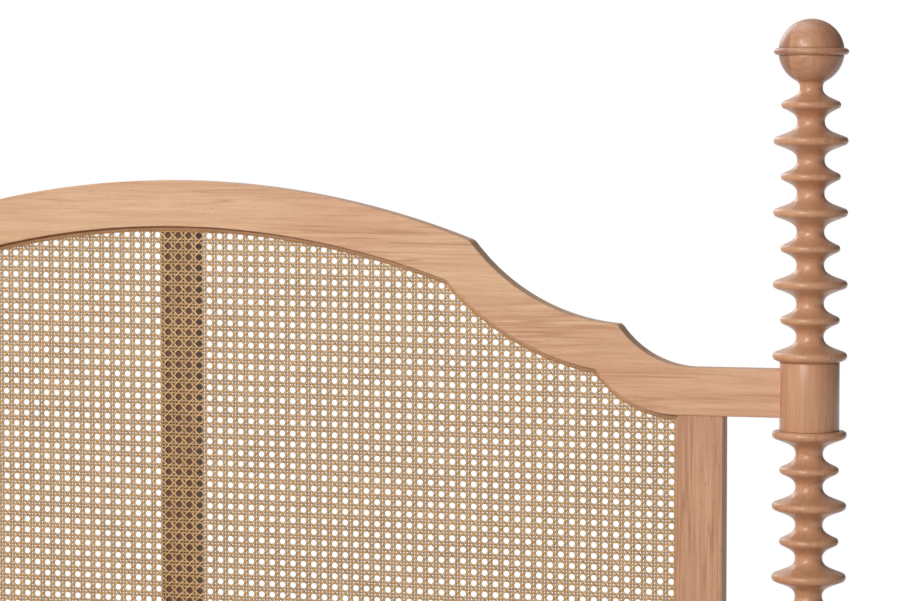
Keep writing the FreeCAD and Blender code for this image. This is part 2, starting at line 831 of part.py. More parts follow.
def slot_plate(name, x, end):
    """Steel plate let into a post, with two slots for the hooks."""
    face = RAIL_END * end
    back = (RAIL_END + S.plate_thickness) * end
    plate = box(
        f"{name}_sheet", spread(S.plate_width / 2, x), (face, back),
        spread(S.plate_height / 2, PLATE_MIDDLE),
    )
    slots = [
        box(
            f"{name}_slot_{index}",
            spread(S.hook_thickness / 2 + S.joint_clearance, x),
            (face - S.overrun * end, back + S.overrun * end),
            (low, low + S.hook_height + S.hook_drop + S.joint_clearance),
        )
        for index, low in enumerate(plate_hooks(S.rail_floor_gap))
    ]
    return cut(name, plate, slots)


def hook_plate(name, x, end):
    """Steel plate let into a rail's end, with two hooks that drop behind the slot plate."""
    face = RAIL_END * end
    inside = (RAIL_END - S.plate_thickness) * end
    lip_near = (RAIL_END + S.plate_thickness + S.joint_clearance) * end
    lip_far = (RAIL_END + S.plate_thickness + S.joint_clearance + S.hook_lip) * end
    pieces = [
        box(
            f"{name}_sheet", spread(S.plate_width / 2, x), (inside, face),
            spread(S.plate_height / 2, PLATE_MIDDLE),
        )
    ]
    for index, low in enumerate(plate_hooks(S.rail_floor_gap)):
        across = spread(S.hook_thickness / 2, x)
        top = low + S.hook_height
        pieces.append(box(f"{name}_arm_{index}", across, (inside, lip_far), (low, top)))
        pieces.append(box(f"{name}_lip_{index}", across, (lip_near, lip_far), (low - S.hook_drop, top)))
    return fuse(name, pieces)


rail_corners = [
    (f"{end_name}_{side_name}", POST_X * side, end)
    for end_name, end in ENDS.items()
    for side_name, side in SIDES.items()
]
slot_plates = [slot_plate(f"slot_plate_{name}", x, end) for name, x, end in rail_corners]
node("post_slot_plates", group("slot_plate_group", slot_plates))
hook_plates = [hook_plate(f"hook_plate_{name}", x, end) for name, x, end in rail_corners]
node("rail_hook_plates", group("hook_plate_group", hook_plates))

# Slats, evenly spaced between the posts
slat_reach = POST_Y - S.block_radius - S.ledger_end_gap - S.slat_side_gap - S.slat_width / 2
for index in range(SLAT_COUNT):
    middle = slat_reach * (2 * index / (SLAT_COUNT - 1) - 1)
    slat = box(
        f"slat_board_{index + 1:02d}",
        spread(RAIL_INNER_X - S.slat_end_gap),
        spread(S.slat_width / 2, middle),
        (SLAT_SEAT, SLAT_SEAT + S.slat_thickness),
    )
    node(f"slat_{index + 1:02d}", slat)

# Centre beam, the brackets that carry its ends, and its legs
BRACKET_FACE = FRONT - S.bracket_thickness
LEG_SPACING = FRONT / 2
LEG_PLACES = {"head": LEG_SPACING, "middle": ZERO, "foot": -LEG_SPACING}
beam_blank = box("beam_blank", spread(S.beam_width / 2), spread(BRACKET_FACE), (BEAM_LOW, SLAT_SEAT))
beam_holes = [
    flat_sided(
        f"beam_hole_{name}", S.centre_leg_tenon_radius + S.joint_clearance, BEAM_LOW - S.overrun,
        BEAM_LOW + S.centre_leg_tenon_length + S.joint_clearance, y=y,
    )
    for name, y in LEG_PLACES.items()
]
node("centre_beam", cut("beam_drilled", beam_blank, beam_holes))
for end_name, end in ENDS.items():
    high = SLAT_SEAT - S.bracket_top_gap
    low = BEAM_LOW - S.bracket_thickness
    sleeve = S.beam_width / 2 + S.bracket_thickness
    throat = ((BRACKET_FACE - S.bracket_depth) * end, BRACKET_FACE * end)
    pieces = [
        box(
            f"bracket_plate_{end_name}", spread(sleeve + S.bracket_flange),
            (BRACKET_FACE * end, FRONT * end), (low, high),
        ),
        box(f"bracket_floor_{end_name}", spread(sleeve), throat, (low, BEAM_LOW)),
    ]
    for side_name, side in SIDES.items():
        pieces.append(
            box(
                f"bracket_cheek_{end_name}_{side_name}",
                (S.beam_width / 2 * side, sleeve * side), throat, (low, high),
            )
        )
    node(f"beam_bracket_{end_name}", fuse(f"bracket_{end_name}", pieces))


def centre_leg(name, y):
    """A tapered leg with a tenon in the beam, bored for its insert and the foot's stem."""
    taper = turn(
        f"{name}_taper",
        [(S.centre_leg_low_radius, S.centre_leg_low), (S.centre_leg_top_radius, BEAM_LOW)],
        y=y,
    )
    tenon = flat_sided(
        f"{name}_tenon", S.centre_leg_tenon_radius, BEAM_LOW - S.overrun,
        BEAM_LOW + S.centre_leg_tenon_length, y=y,
    )
    insert_hole = flat_sided(
        f"{name}_insert_hole", S.insert_radius + S.thread_clearance, S.centre_leg_low - S.overrun,
        S.centre_leg_low + S.insert_length + S.joint_clearance, y=y,
    )
    stem_hole = flat_sided(
        f"{name}_stem_hole", S.stem_radius + S.joint_clearance * 2, S.centre_leg_low,
        S.pad_height + S.stem_length + S.foot_travel + S.overrun, y=y,
    )
    return cut(name, fuse(f"{name}_blank", [taper, tenon]), [insert_hole, stem_hole])


def leg_insert(name, y):
    low = S.centre_leg_low - S.insert_flange_thickness
    top = S.centre_leg_low + S.insert_length
    barrel = flat_sided(f"{name}_barrel", S.insert_radius, low, top, y=y)
    flange = flat_sided(f"{name}_flange", S.insert_flange_radius, low, S.centre_leg_low, y=y)
    bore = cylinder(
        f"{name}_bore", S.stem_radius + S.thread_clearance, low - S.overrun, top + S.overrun, y=y
    )
    return cut(name, fuse(f"{name}_blank", [barrel, flange]), [bore])


def levelling_foot(name, y):
    """A round pad on a screwed stem."""
    pad = turn(
        f"{name}_pad",
        [(S.pad_radius, ZERO), (S.pad_radius, S.pad_edge), (S.pad_hub_radius, S.pad_height)],
        y=y,
    )
    stem = cylinder(f"{name}_stem", S.stem_radius, S.pad_edge, S.pad_height + S.stem_length, y=y)
    return fuse(name, [pad, stem])


inserts = []
for name, y in LEG_PLACES.items():
    node(f"centre_leg_{name}", centre_leg(f"leg_{name}", y))
    inserts.append(leg_insert(f"insert_{name}", y))
    node(f"levelling_foot_{name}", levelling_foot(f"levelling_{name}", y))
node("leg_inserts", group("insert_group", inserts))

# Check every feature, then write one file for each node
doc.recompute()
for feature in doc.Objects:
    for state in feature.State:
        if state in ("Invalid", "Error"):
            raise RuntimeError(f"{feature.Name} is in state {state}")
for label, piece in nodes.items():
    if piece.Shape.isNull() or not piece.Shape.isValid():
        raise RuntimeError(f"{label} has no valid shape")

os.makedirs("parts", exist_ok=True)
for label, piece in nodes.items():
    piece.Shape.exportStep(os.path.join("parts", f"{label}.step"))
    print(label, len(piece.Shape.Solids), round(piece.Shape.Volume))
print(len(nodes), "nodes, height", round(max(piece.Shape.BoundBox.ZMax for piece in nodes.values()), 1))
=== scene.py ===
"""Four-poster bed with a cane headboard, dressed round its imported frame.

Most classes below are one sub-assembly of the bed each. Lengths are in metres in the frame's
own axes: +X to the right seen from the foot, +Y towards the headboard, +Z up from the floor.
"""
import logging
import math
from dataclasses import dataclass, field
from enum import Enum
from functools import cache, partialmethod
from itertools import product
from typing import NamedTuple

import bpy
import numpy as np
from mathutils import Matrix, Vector


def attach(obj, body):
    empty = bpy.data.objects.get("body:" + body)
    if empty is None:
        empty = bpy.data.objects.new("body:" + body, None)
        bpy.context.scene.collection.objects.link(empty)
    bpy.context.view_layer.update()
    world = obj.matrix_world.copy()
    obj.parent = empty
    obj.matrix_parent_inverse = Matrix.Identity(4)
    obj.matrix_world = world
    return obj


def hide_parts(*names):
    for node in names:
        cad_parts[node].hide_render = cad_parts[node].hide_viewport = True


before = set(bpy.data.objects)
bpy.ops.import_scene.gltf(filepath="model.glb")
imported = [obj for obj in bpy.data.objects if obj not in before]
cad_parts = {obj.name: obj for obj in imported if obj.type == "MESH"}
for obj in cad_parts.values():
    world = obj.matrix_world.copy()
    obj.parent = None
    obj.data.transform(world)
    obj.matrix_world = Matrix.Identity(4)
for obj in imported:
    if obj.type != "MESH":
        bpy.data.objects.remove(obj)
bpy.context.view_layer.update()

log = logging.getLogger("bed")
Array = np.ndarray
Socket = bpy.types.NodeSocket
Material = bpy.types.Material
Place = tuple[float, float, float]
Shade = tuple[int, int, int]
FRAME_BODY = "bed_frame"
UP = (0.0, 0.0, 1.0)
WHITE = (1.0, 1.0, 1.0, 1.0)


# Forms: plain vertex and face arrays, worked out before any mesh is made


def columns(*parts: object) -> Array:
    """Arrays or numbers side by side, as the last axis of one array."""
    return np.stack(np.broadcast_arrays(*parts), axis=-1)


@dataclass
class Form:
    """Vertices with quads and, where an end is closed, longer outlines.

    Painted shade rims may hold one number per vertex: 1 on the long edges of a strand, where a cane
    finish paints shade, 0 on its ridges.
    """

    points: Array
    quads: Array
    ends: list[list[int]] = field(default_factory=list)
    painted_shade_rims: Array | None = None

    def outward(self) -> "Form":
        """The same form facing outwards, told by the sum of a.(b x c) over its triangles."""
        p = self.points
        a, b, c, d = (p[self.quads[:, k]] for k in range(4))
        total = np.sum(a * (np.cross(b, c) + np.cross(c, d)))
        for ring in self.ends:
            r = p[np.array(ring)]
            total += np.sum(r[0] * np.cross(r[1:-1], r[2:]))
        if total >= 0.0:
            return self
        return Form(p, self.quads[:, ::-1].copy(), [ring[::-1] for ring in self.ends], self.painted_shade_rims)


def joined(forms: list[Form]) -> Form:
    """Several forms as one, their vertices in the given order."""
    shifts = np.cumsum([0] + [len(form.points) for form in forms[:-1]])
    pairs = list(zip(forms, shifts.tolist()))
    ends = [[i + shift for i in ring] for form, shift in pairs for ring in form.ends]
    quads = np.concatenate([form.quads + shift for form, shift in pairs])
    return Form(np.concatenate([form.points for form in forms]), quads, ends)


def swept(sections: Array) -> Form:
    """A closed section carried along a path.

    The vertex of station i and section point j is sections[i, j]; neighbours in i and j make
    a quad, the section closes on itself, and the first and last sections are filled.

    Args:
        sections: Array of stations by section points by three.

    Returns:
        The form, facing outwards.
    """
    stations, around = sections.shape[:2]
    below = np.arange(stations - 1)[:, None] * around
    column = np.arange(around)[None, :]
    beside = (column + 1) % around
    above = below + around
    quads = columns(below + column, below + beside, above + beside, above + column).reshape(-1, 4)
    last = (stations - 1) * around
    ends = [list(range(around))[::-1], list(range(last, last + around))]
    return Form(sections.reshape(-1, 3), quads, ends).outward()


def turned(profile: Array, x: float, y: float, sides: int = 96) -> Form:
    """A profile turned about an upright axis.

    The point at angle a and profile row (r, h) is (x + r cos a, y + r sin a, h).

    Args:
        profile: Rows of radius and height, from the lowest up.
        x: Place of the axis.
        y: Place of the axis.
        sides: Number of divisions round the axis.

    Returns:
        The form, facing outwards.
    """
    angles = np.arange(sides) * math.tau / sides
    radius, height = profile[:, :1], profile[:, 1:]
    return swept(columns(radius * np.cos(angles) + x, radius * np.sin(angles) + y, height))


def block(low: Place, high: Place) -> Form:
    """A plain block between two opposite corners, given in any order."""
    a, b = np.minimum(low, high), np.maximum(low, high)
    ring = np.array([[a[0], a[1]], [b[0], a[1]], [b[0], b[1]], [a[0], b[1]]])
    return swept(np.stack([columns(*ring.T, z) for z in (a[2], b[2])]))


# Finishes: every one is a small frozen class that makes its own node material


class Grain(Enum):
    """Direction of the wood's fibres; the value lists the two cross axes, then the long axis."""

    ALONG_X = ("Y", "Z", "X")
    ALONG_Y = ("X", "Z", "Y")
    UPRIGHT = ("X", "Y", "Z")


class Layer(NamedTuple):
    """Noise stretched along the fibres.

    It has its counts a metre both ways, the levels where it eases in, and how far it shifts
    the colour.
    """

    across: float
    along: float
    low: float = 0.0
    high: float = 1.0
    strength: float = 1.0
    detail: float = 2.0
    rough: float = 0.5


RING_DRIFT = Layer(6.4, 1.8, detail=3.0)
RING_PATCHES = Layer(14.0, 3.0, 0.38, 0.68)
BROAD = Layer(130.0, 5.0, 0.35, 0.72, 0.26)
STREAK = Layer(420.0, 16.0, 0.36, 0.74, 0.30, rough=0.6)
FIBRE = Layer(1100.0, 40.0, 0.30, 0.80, 0.16, rough=0.6)
PORE = Layer(900.0, 90.0, 0.64, 0.74, 0.45, detail=1.0)
BLUSH = Layer(9.0, 2.6, 0.40, 0.66, 0.60)
VEIN_LEVEL = Layer(70.0, 2.0)
VEIN_PATCHES = Layer(12.0, 5.0, 0.42, 0.60, detail=1.0)


class Nodes:
    """Short hand for building one node tree."""

    def __init__(self, tree: bpy.types.NodeTree) -> None:
        """Work on a tree."""
        self.tree = tree

    def link(self, source: Socket, target: Socket) -> None:
        """Join two sockets."""
        self.tree.links.new(source, target)

    def put(self, socket: Socket, value: object) -> None:
        """Give a socket a link or a constant."""
        if isinstance(value, Socket):
            self.link(value, socket)
        else:
            socket.default_value = value

    def add(self, kind: str, *values: object, **settings: object) -> bpy.types.Node:
        """A new node with some settings, its first inputs given links or constants."""
        node = self.tree.nodes.new(f"ShaderNode{kind}")
        for name, setting in settings.items():
            setattr(node, name, setting)
        for socket, value in zip(node.inputs, values):
            self.put(socket, value)
        return node

    def math(self, operation: str, *values: object) -> Socket:
        """One number worked out from others."""
        return self.add("Math", *values, operation=operation).outputs[0]

    times = partialmethod(math, "MULTIPLY")
    plus = partialmethod(math, "ADD")
    minus = partialmethod(math, "SUBTRACT")

    def vector(self, operation: str, *values: object) -> Socket:
        """One vector, or for a length or a dot product one number, worked out from others."""
        node = self.add("VectorMath", *values, operation=operation)
        return node.outputs[1 if operation in ("LENGTH", "DOT_PRODUCT") else 0]

    def place(self) -> Socket:
        """Object coordinates, which are the frame's own."""
        return self.add("TexCoord").outputs["Object"]

    def attribute(self, name: str) -> Socket:
        """The value of a mesh attribute, or 0 where a mesh has none of that name."""
        return self.add("Attribute", attribute_name=name).outputs["Fac"]

    def combine(self, x: object, y: object, z: object) -> Socket:
        """A vector from three numbers."""
        return self.add("CombineXYZ", x, y, z).outputs[0]

    def noise(self, vector: Socket, scale: float, detail: float = 2.0, rough: float = 0.5) -> Socket:
        """Smooth noise from 0 to 1."""
        node = self.add("TexNoise", vector)
        for name, number in (("Scale", scale), ("Detail", detail), ("Roughness", rough)):
            node.inputs[name].default_value = number
        return node.outputs["Fac"]

    def stretched(self, at: tuple[Socket, ...], layer: Layer) -> Socket:
        """A layer's noise at a place, given by its two cross axes and its long axis."""
        counts = (layer.across, layer.across, layer.along)
        place = self.combine(*(self.times(part, count) for part, count in zip(at, counts)))
        return self.noise(place, 1.0, layer.detail, layer.rough)

    def ease(
        self, value: object, low: float, high: float, to_low: float = 0.0, to_high: float = 1.0
    ) -> Socket:
        """A smooth step of a value between two limits."""
        node = self.add("MapRange", value, low, high, to_low, to_high, interpolation_type="SMOOTHSTEP")
        return node.outputs["Result"]

    def eased(self, at: tuple[Socket, ...], layer: Layer) -> Socket:
        """A layer's noise as a share from 0 to 1."""
        return self.ease(self.stretched(at, layer), layer.low, layer.high)

    def mix(self, share: object, one: object, other: object) -> Socket:
        """A colour between two colours."""
        node = self.add("Mix", share, data_type="RGBA")
        self.put(node.inputs[6], one)
        self.put(node.inputs[7], other)
        return node.outputs[2]


class Paint(Nodes):
    """The nodes of a new material, with a principled shader."""

    def __init__(self, name: str) -> None:
        """Start the material."""
        self.material = bpy.data.materials.new(name)
        self.material.use_nodes = True
        super().__init__(self.material.node_tree)
        self.tree.nodes.clear()
        self.out = self.add("OutputMaterial")
        self.shader = self.add("BsdfPrincipled")
        self.link(self.shader.outputs[0], self.out.inputs["Surface"])

    def coat(
        self, base: Socket, roughness: object, relief: Socket, depth: float, share: float
    ) -> Material:
        """Give the shader its colour, its roughness and a fine relief."""
        self.put(self.shader.inputs["Base Color"], base)
        self.put(self.shader.inputs["Roughness"], roughness)
        bump = self.add("Bump", share, depth)
        self.link(relief, bump.inputs["Height"])
        self.link(bump.outputs[0], self.shader.inputs["Normal"])
        return self.material


def colour(shade: Shade) -> tuple[float, float, float, float]:
    """A linear colour from the three display numbers, 0 to 255, of a finish."""
    parts = np.array(shade) / 255.0
    linear = np.where(parts <= 0.04045, parts / 12.92, ((parts + 0.055) / 1.055) ** 2.4)
    return (*(float(part) for part in linear), 1.0)


@dataclass(frozen=True)
class WoodFinish:
    """Lacquered wood with growth rings about a pith beside the board, streaks and pores.

    The shades are the light one, the dark one and the blush.
    """

    name: str
    grain: Grain
    shades: tuple[Shade, Shade, Shade]
    pith: tuple[float, float]
    ring_pitch: float = 0.0052
    ring_strength: float = 0.34
    waviness: float = 0.0035
    shift: float = 0.0
    roughness: float = 0.40
    gloss: float = 0.12
    veins: float = 0.58
    figure: float = 1.0
    glue_line: float | None = None
    glue_turn: float = -7.0
    glue_half: float = 0.0007
    glue_strength: float = 0.50
    stave_strength: float = 0.58
    stave_shift: tuple[float, float] = (0.37, 0.71)
    relief: float = 0.0002

    def make(self) -> Material:
        """Build the material.

        Returns:
            A material whose colour is a mix of rings, long streaks, veins and short pores.
        """
        n = Paint(self.name)
        light, dark, pink = (colour(shade) for shade in self.shades)
        parts = n.add("SeparateXYZ", n.place()).outputs
        u, v, w = (parts[axis] for axis in self.grain.value)
        w = n.plus(w, self.shift)
        darker: list[tuple[Socket, float]] = []
        if self.glue_line is not None:
            seam, stave = self._stave(n, u, v)
            u, w = (n.plus(a, n.times(stave, b)) for a, b in zip((u, w), self.stave_shift))
            darker += [(stave, self.stave_strength), (seam, self.glue_strength)]
        at = (u, v, w)
        pore = n.eased(at, PORE)
        fibre = n.stretched(at, FIBRE)
        darker += [
            (n.eased(at, BROAD), BROAD.strength * self.figure),
            (self._rings(n, at), self.ring_strength),
            (n.eased(at, STREAK), STREAK.strength * self.figure),
            (self._veins(n, at), self.veins),
            (pore, PORE.strength * self.figure),
        ]
        base = n.mix(n.times(n.eased(at, BLUSH), BLUSH.strength), light, pink)
        for share, strength in darker:
            base = n.mix(n.times(share, strength), base, dark)
        base = n.mix(n.ease(fibre, FIBRE.low, FIBRE.high, 0.0, FIBRE.strength), base, dark)
        n.shader.inputs["Specular IOR Level"].default_value = self.gloss
        height = n.minus(fibre, n.times(pore, 0.8))
        return n.coat(base, self.roughness, height, self.relief, 0.30)

    def _rings(self, n: Nodes, at: tuple[Socket, ...]) -> Socket:
        """Rings: slow to darken, quick to end, uneven in width, and stronger in patches."""
        u, v, _ = at
        drift = n.times(n.minus(n.stretched(at, RING_DRIFT), 0.5), self.waviness * 4.0)
        across = n.combine(n.minus(u, self.pith[0]), n.minus(v, self.pith[1]), 0.0)
        radius = n.plus(n.vector("LENGTH", across), drift)
        uneven = n.times(n.noise(n.combine(radius, 0.0, 0.0), 60.0, 1.0), 3.0)
        turn = n.math("FRACT", n.plus(n.math("DIVIDE", radius, self.ring_pitch), uneven))
        ring = n.times(n.ease(turn, 0.45, 0.93), n.ease(turn, 0.93, 1.0, 1.0, 0.0))
        return n.times(ring, n.math("MULTIPLY_ADD", n.eased(at, RING_PATCHES), 0.9, 0.1))

    @staticmethod
    def _veins(n: Nodes, at: tuple[Socket, ...]) -> Socket:
        """Thin veins where a slow noise crosses its middle, in patches."""
        away = n.math("ABSOLUTE", n.minus(n.stretched(at, VEIN_LEVEL), 0.5))
        return n.times(n.ease(away, 0.0, 0.030, 1.0, 0.0), n.eased(at, VEIN_PATCHES))

    def _stave(self, n: Nodes, u: Socket, v: Socket) -> tuple[Socket, Socket]:
        """How near a place is to the glue line, and which stave it lies in, 0 or 1."""
        turn = math.radians(self.glue_turn)
        level = n.plus(n.times(u, math.cos(turn)), n.times(v, math.sin(turn)))
        away = n.minus(level, self.glue_line)
        seam = n.ease(n.math("ABSOLUTE", away), 0.0, self.glue_half, 1.0, 0.0)
        return seam, n.math("LESS_THAN", away, 0.0)


@dataclass(frozen=True)
class Finish:
    """A finish of two shades."""

    name: str
    light: Shade
    dark: Shade


@dataclass(frozen=True)
class CaneFinish(Finish):
    """Split cane: a satin skin with slow drifts of colour, fine flecks, and painted shade along the
    long edges of each strand.
    """

    edge: Shade
    roughness: float = 0.42
    relief: float = 0.0002

    def make(self) -> Material:
        """A material whose colour drifts along the strands, with painted shade darkening their long
        edges.
        """
        n = Paint(self.name)
        light, dark, edge = colour(self.light), colour(self.dark), colour(self.edge)
        place = n.place()
        quick = n.noise(place, 420.0, 2.0, 0.6)
        fleck = n.ease(n.noise(place, 640.0, 1.0), 0.50, 0.64)
        slow = n.ease(n.noise(place, 26.0, 3.0, 0.6), 0.30, 0.72, 0.15, 0.70)
        base = n.mix(slow, light, dark)
        base = n.mix(n.ease(quick, 0.38, 0.66, 0.0, 0.25), base, edge)
        base = n.mix(n.times(fleck, 0.25), base, edge)
        # Painted shade: the near-black third shade darkens each strand towards its long edges, where
        # shade falls between strands.
        base = n.mix(n.ease(n.attribute("rim"), 0.45, 0.92, 0.0, 0.95), base, edge)
        return n.coat(base, self.roughness, quick, self.relief, 0.4)


class MetalFinish(Finish):
    """Plated or plain metal with fine rolling marks."""

    roughness: tuple[float, float] = (0.28, 0.42)
    relief: float = 0.00005

    def make(self) -> Material:
        """A metal whose colour and roughness vary with fine and slow noise."""
        n = Paint(self.name)
        light, dark = colour(self.light), colour(self.dark)
        place = n.place()
        marks = n.noise(n.vector("MULTIPLY", place, (900.0, 900.0, 60.0)), 1.0)
        base = n.mix(n.ease(n.noise(place, 45.0, 4.0, 0.6), 0.3, 0.7), light, dark)
        base = n.mix(n.ease(marks, 0.4, 0.8, 0.0, 0.3), base, dark)
        n.shader.inputs["Metallic"].default_value = 1.0
        return n.coat(base, n.ease(marks, 0.2, 0.8, *self.roughness), marks, self.relief, 0.25)


class FeltFinish(Finish):
    """Pressed wool felt."""

    roughness: float = 0.95
    relief: float = 0.0004

    def make(self) -> Material:
        """A matt fibrous material."""
        n = Paint(self.name)
        fuzz = n.noise(n.place(), 900.0, 4.0, 0.7)
        base = n.mix(n.ease(fuzz, 0.3, 0.7), colour(self.light), colour(self.dark))
        return n.coat(base, self.roughness, fuzz, self.relief, 0.8)


PALE = ((222, 185, 150), (176, 124, 92), (214, 167, 136))
TAN = ((206, 156, 120), (155, 100, 71), (198, 140, 106))
PINE = ((232, 204, 158), (196, 148, 98), (226, 190, 144))
STILE = ((212, 168, 134), (150, 102, 78), (196, 146, 122))
BALL = ((198, 149, 115), (144, 92, 67), (187, 131, 101))
# Painted shade: the frame strip's shades are darkened to show it in the shadow that the crest casts
# behind the cane.
STRIP_IN_PAINTED_SHADE = ((164, 124, 92), (118, 78, 54), (150, 106, 80))
# Painted shade: the brace's shades are dark to show the wood in the shadow that the cane casts on it.
BRACE_IN_PAINTED_SHADE = ((122, 88, 76), (70, 46, 38), (112, 76, 66))
POLISH = {"roughness": 0.29, "gloss": 0.42, "veins": 0.25, "figure": 0.7}
TURNED = {"ring_pitch": 0.0055, "ring_strength": 0.25, "waviness": 0.010, **POLISH}
SAWN = {"ring_strength": 0.6, "roughness": 0.6}

FINISHES = {
    "crest": WoodFinish("crest_lacquer", Grain.ALONG_X, PALE, (0.10, 1.32), shift=0.4),
    "cross_rail": WoodFinish("cross_rail_lacquer", Grain.ALONG_X, PALE, (0.02, 0.21)),
    "side_rail": WoodFinish("side_rail_lacquer", Grain.ALONG_Y, PALE, (0.02, 0.20)),
    "stile": WoodFinish(
        "stile_lacquer", Grain.UPRIGHT, STILE, (0.5, 1.10),
        ring_pitch=0.0042, ring_strength=0.32, shift=2.0, veins=0.45,
    ),
    "post": WoodFinish("post_lacquer", Grain.UPRIGHT, TAN, (0.70, 1.00), shift=1.0, **TURNED),
    "foot_post": WoodFinish(
        "foot_post_lacquer", Grain.UPRIGHT, TAN, (0.70, -1.00), shift=3.0, **TURNED,
    ),
    "finial": WoodFinish(
        "finial_lacquer", Grain.UPRIGHT, BALL, (0.80, 1.09),
        ring_pitch=0.0046, ring_strength=0.45, waviness=0.012, shift=5.0, glue_line=0.637, **POLISH,
    ),
    "frame_strip": WoodFinish("frame_strip_shaded_wood", Grain.UPRIGHT, STRIP_IN_PAINTED_SHADE, (0.3, 0.9), shift=7.0),
    "brace": WoodFinish("brace_wood", Grain.UPRIGHT, BRACE_IN_PAINTED_SHADE, (0.06, 1.0)),
    "slat": WoodFinish("slat_pine", Grain.ALONG_X, PINE, (0.6, 0.2), ring_pitch=0.007, **SAWN),
    "beam": WoodFinish("beam_pine", Grain.ALONG_Y, PINE, (0.05, 0.2), ring_pitch=0.008, **SAWN),
    "leg": WoodFinish("leg_lacquer", Grain.UPRIGHT, TAN, (0.03, 0.5)),
    # For each cane finish the third shade darkens random flecks and, as painted shade, the long edges
    # of the strands.
    "cane": CaneFinish("cane_skin", (206, 161, 103), (172, 129, 79), (32, 18, 9)),
    "reed": CaneFinish("edge_reed_skin", (196, 148, 102), (176, 130, 88), (120, 84, 54)),
    # The diagonals' skin is lighter than the pairs': partly their own tone, partly a painted
    # highlight.
    "cane_diagonal": CaneFinish("cane_diagonal_highlit_skin", (240, 193, 124), (212, 164, 100), (40, 23, 11)),
    "zinc": MetalFinish("zinc_plate", (206, 208, 210), (160, 162, 166)),
    "brass": MetalFinish("insert_brass", (214, 182, 112), (160, 126, 70)),
    "felt": FeltFinish("glide_felt", (112, 94, 78), (66, 54, 46)),
}


@cache
def material(finish: str) -> Material:
    """The material of a named finish, made once."""
    return FINISHES[finish].make()


def added(name: str, data: bpy.types.ID) -> bpy.types.Object:
    """A new object in the scene."""
    thing = bpy.data.objects.new(name, data)
    bpy.context.scene.collection.objects.link(thing)
    return thing


def show(
    name: str,
    form: Form,
    finish: str,
    stands_for: str | None,
    body: str = FRAME_BODY,
    arris: float = 0.0,
    sharp_degrees: float = 40.0,
) -> None:
    """Make a mesh object from a form and dress it.

    Args:
        name: Name of the piece.
        form: Its vertices and faces.
        finish: Name of its finish.
        stands_for: The node that it replaces, if any.
        body: The body that it rides on.
        arris: Radius of the rounded edges that a bevel adds, or zero.
        sharp_degrees: Edges that turn by more stay sharp.
    """
    mesh = bpy.data.meshes.new(name)
    mesh.from_pydata(form.points.tolist(), [], form.quads.tolist() + form.ends)
    mesh.materials.append(material(finish))
    mesh.polygons.foreach_set("use_smooth", np.ones(len(mesh.polygons), dtype=bool))
    # The rim attribute marks where a cane finish paints shade on the strands' long edges.
    if form.painted_shade_rims is not None:
        mesh.attributes.new("rim", "FLOAT", "POINT").data.foreach_set("value", form.painted_shade_rims)
    piece = added(name, mesh)
    if arris > 0.0:
        bevel = piece.modifiers.new("arris", "BEVEL")
        bevel.width = arris
        bevel.segments = 3
        bevel.limit_method = "ANGLE"
        bevel.harden_normals = True
    else:
        mesh.set_sharp_from_angle(angle=math.radians(sharp_degrees))
    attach(piece, body)
    if stands_for:
        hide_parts(stands_for)
    log.info("%s: %d faces", name, len(mesh.polygons))


def dress(node: str, finish: str) -> None:
    """Give a carried-over node its finish."""
    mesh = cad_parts[node].data
    mesh.materials.clear()
    mesh.materials.append(material(finish))
    log.info("%s: carried over", node)


# Places that several sub-assemblies share

SIDES = {"left": -1.0, "right": 1.0}
ENDS = {"foot": -1.0, "head": 1.0}


@dataclass(frozen=True)
class Layout:
    """Shared places of the bed."""

    post_x: float = 0.7855
    post_y: float = 1.036
    shoulder: float = 0.03108
    front: float = 1.022
    back: float = 1.050
    board: float = 0.028
    cane_depth: float = 0.012
    cane_thickness: float = 0.0016
    stile_inner: float = 0.6305
    stile_outer: float = 0.685
    rabbet: float = 0.012
    rabbet_end: float = 0.6425
    over_rabbet_end: float = 0.6605
    rabbet_jump: float = 0.0001
    rail_low: float = 0.240
    rail_top: float = 0.420
    end_rail_low: float = 0.9969
    end_rail_top: float = 1.0534
    crest_rise: float = 0.2157
    crest_width: float = 0.0560
    block_radius: float = 0.035
    rail_block: tuple[float, float] = (0.160, 0.467)
    crest_block: tuple[float, float] = (0.9816, 1.0621)
    slat_seat: float = 0.330
    beam_low: float = 0.260
    rail_arris: float = 0.0025
    sawn_arris: float = 0.0012

    @property
    def shoulder_x(self) -> float:
        """Where the cross boards end, just inside the posts' blocks."""
        return self.post_x - self.shoulder

    @property
    def cane_front(self) -> float:
        """Front of the cane sheet, at the rabbet's step."""
        return self.front + self.cane_depth

    @property
    def cane_back(self) -> float:
        """Back of the cane sheet."""
        return self.cane_front + self.cane_thickness


PLACES = Layout()
FLIP = np.array([1.0, -1.0])


# Turned posts


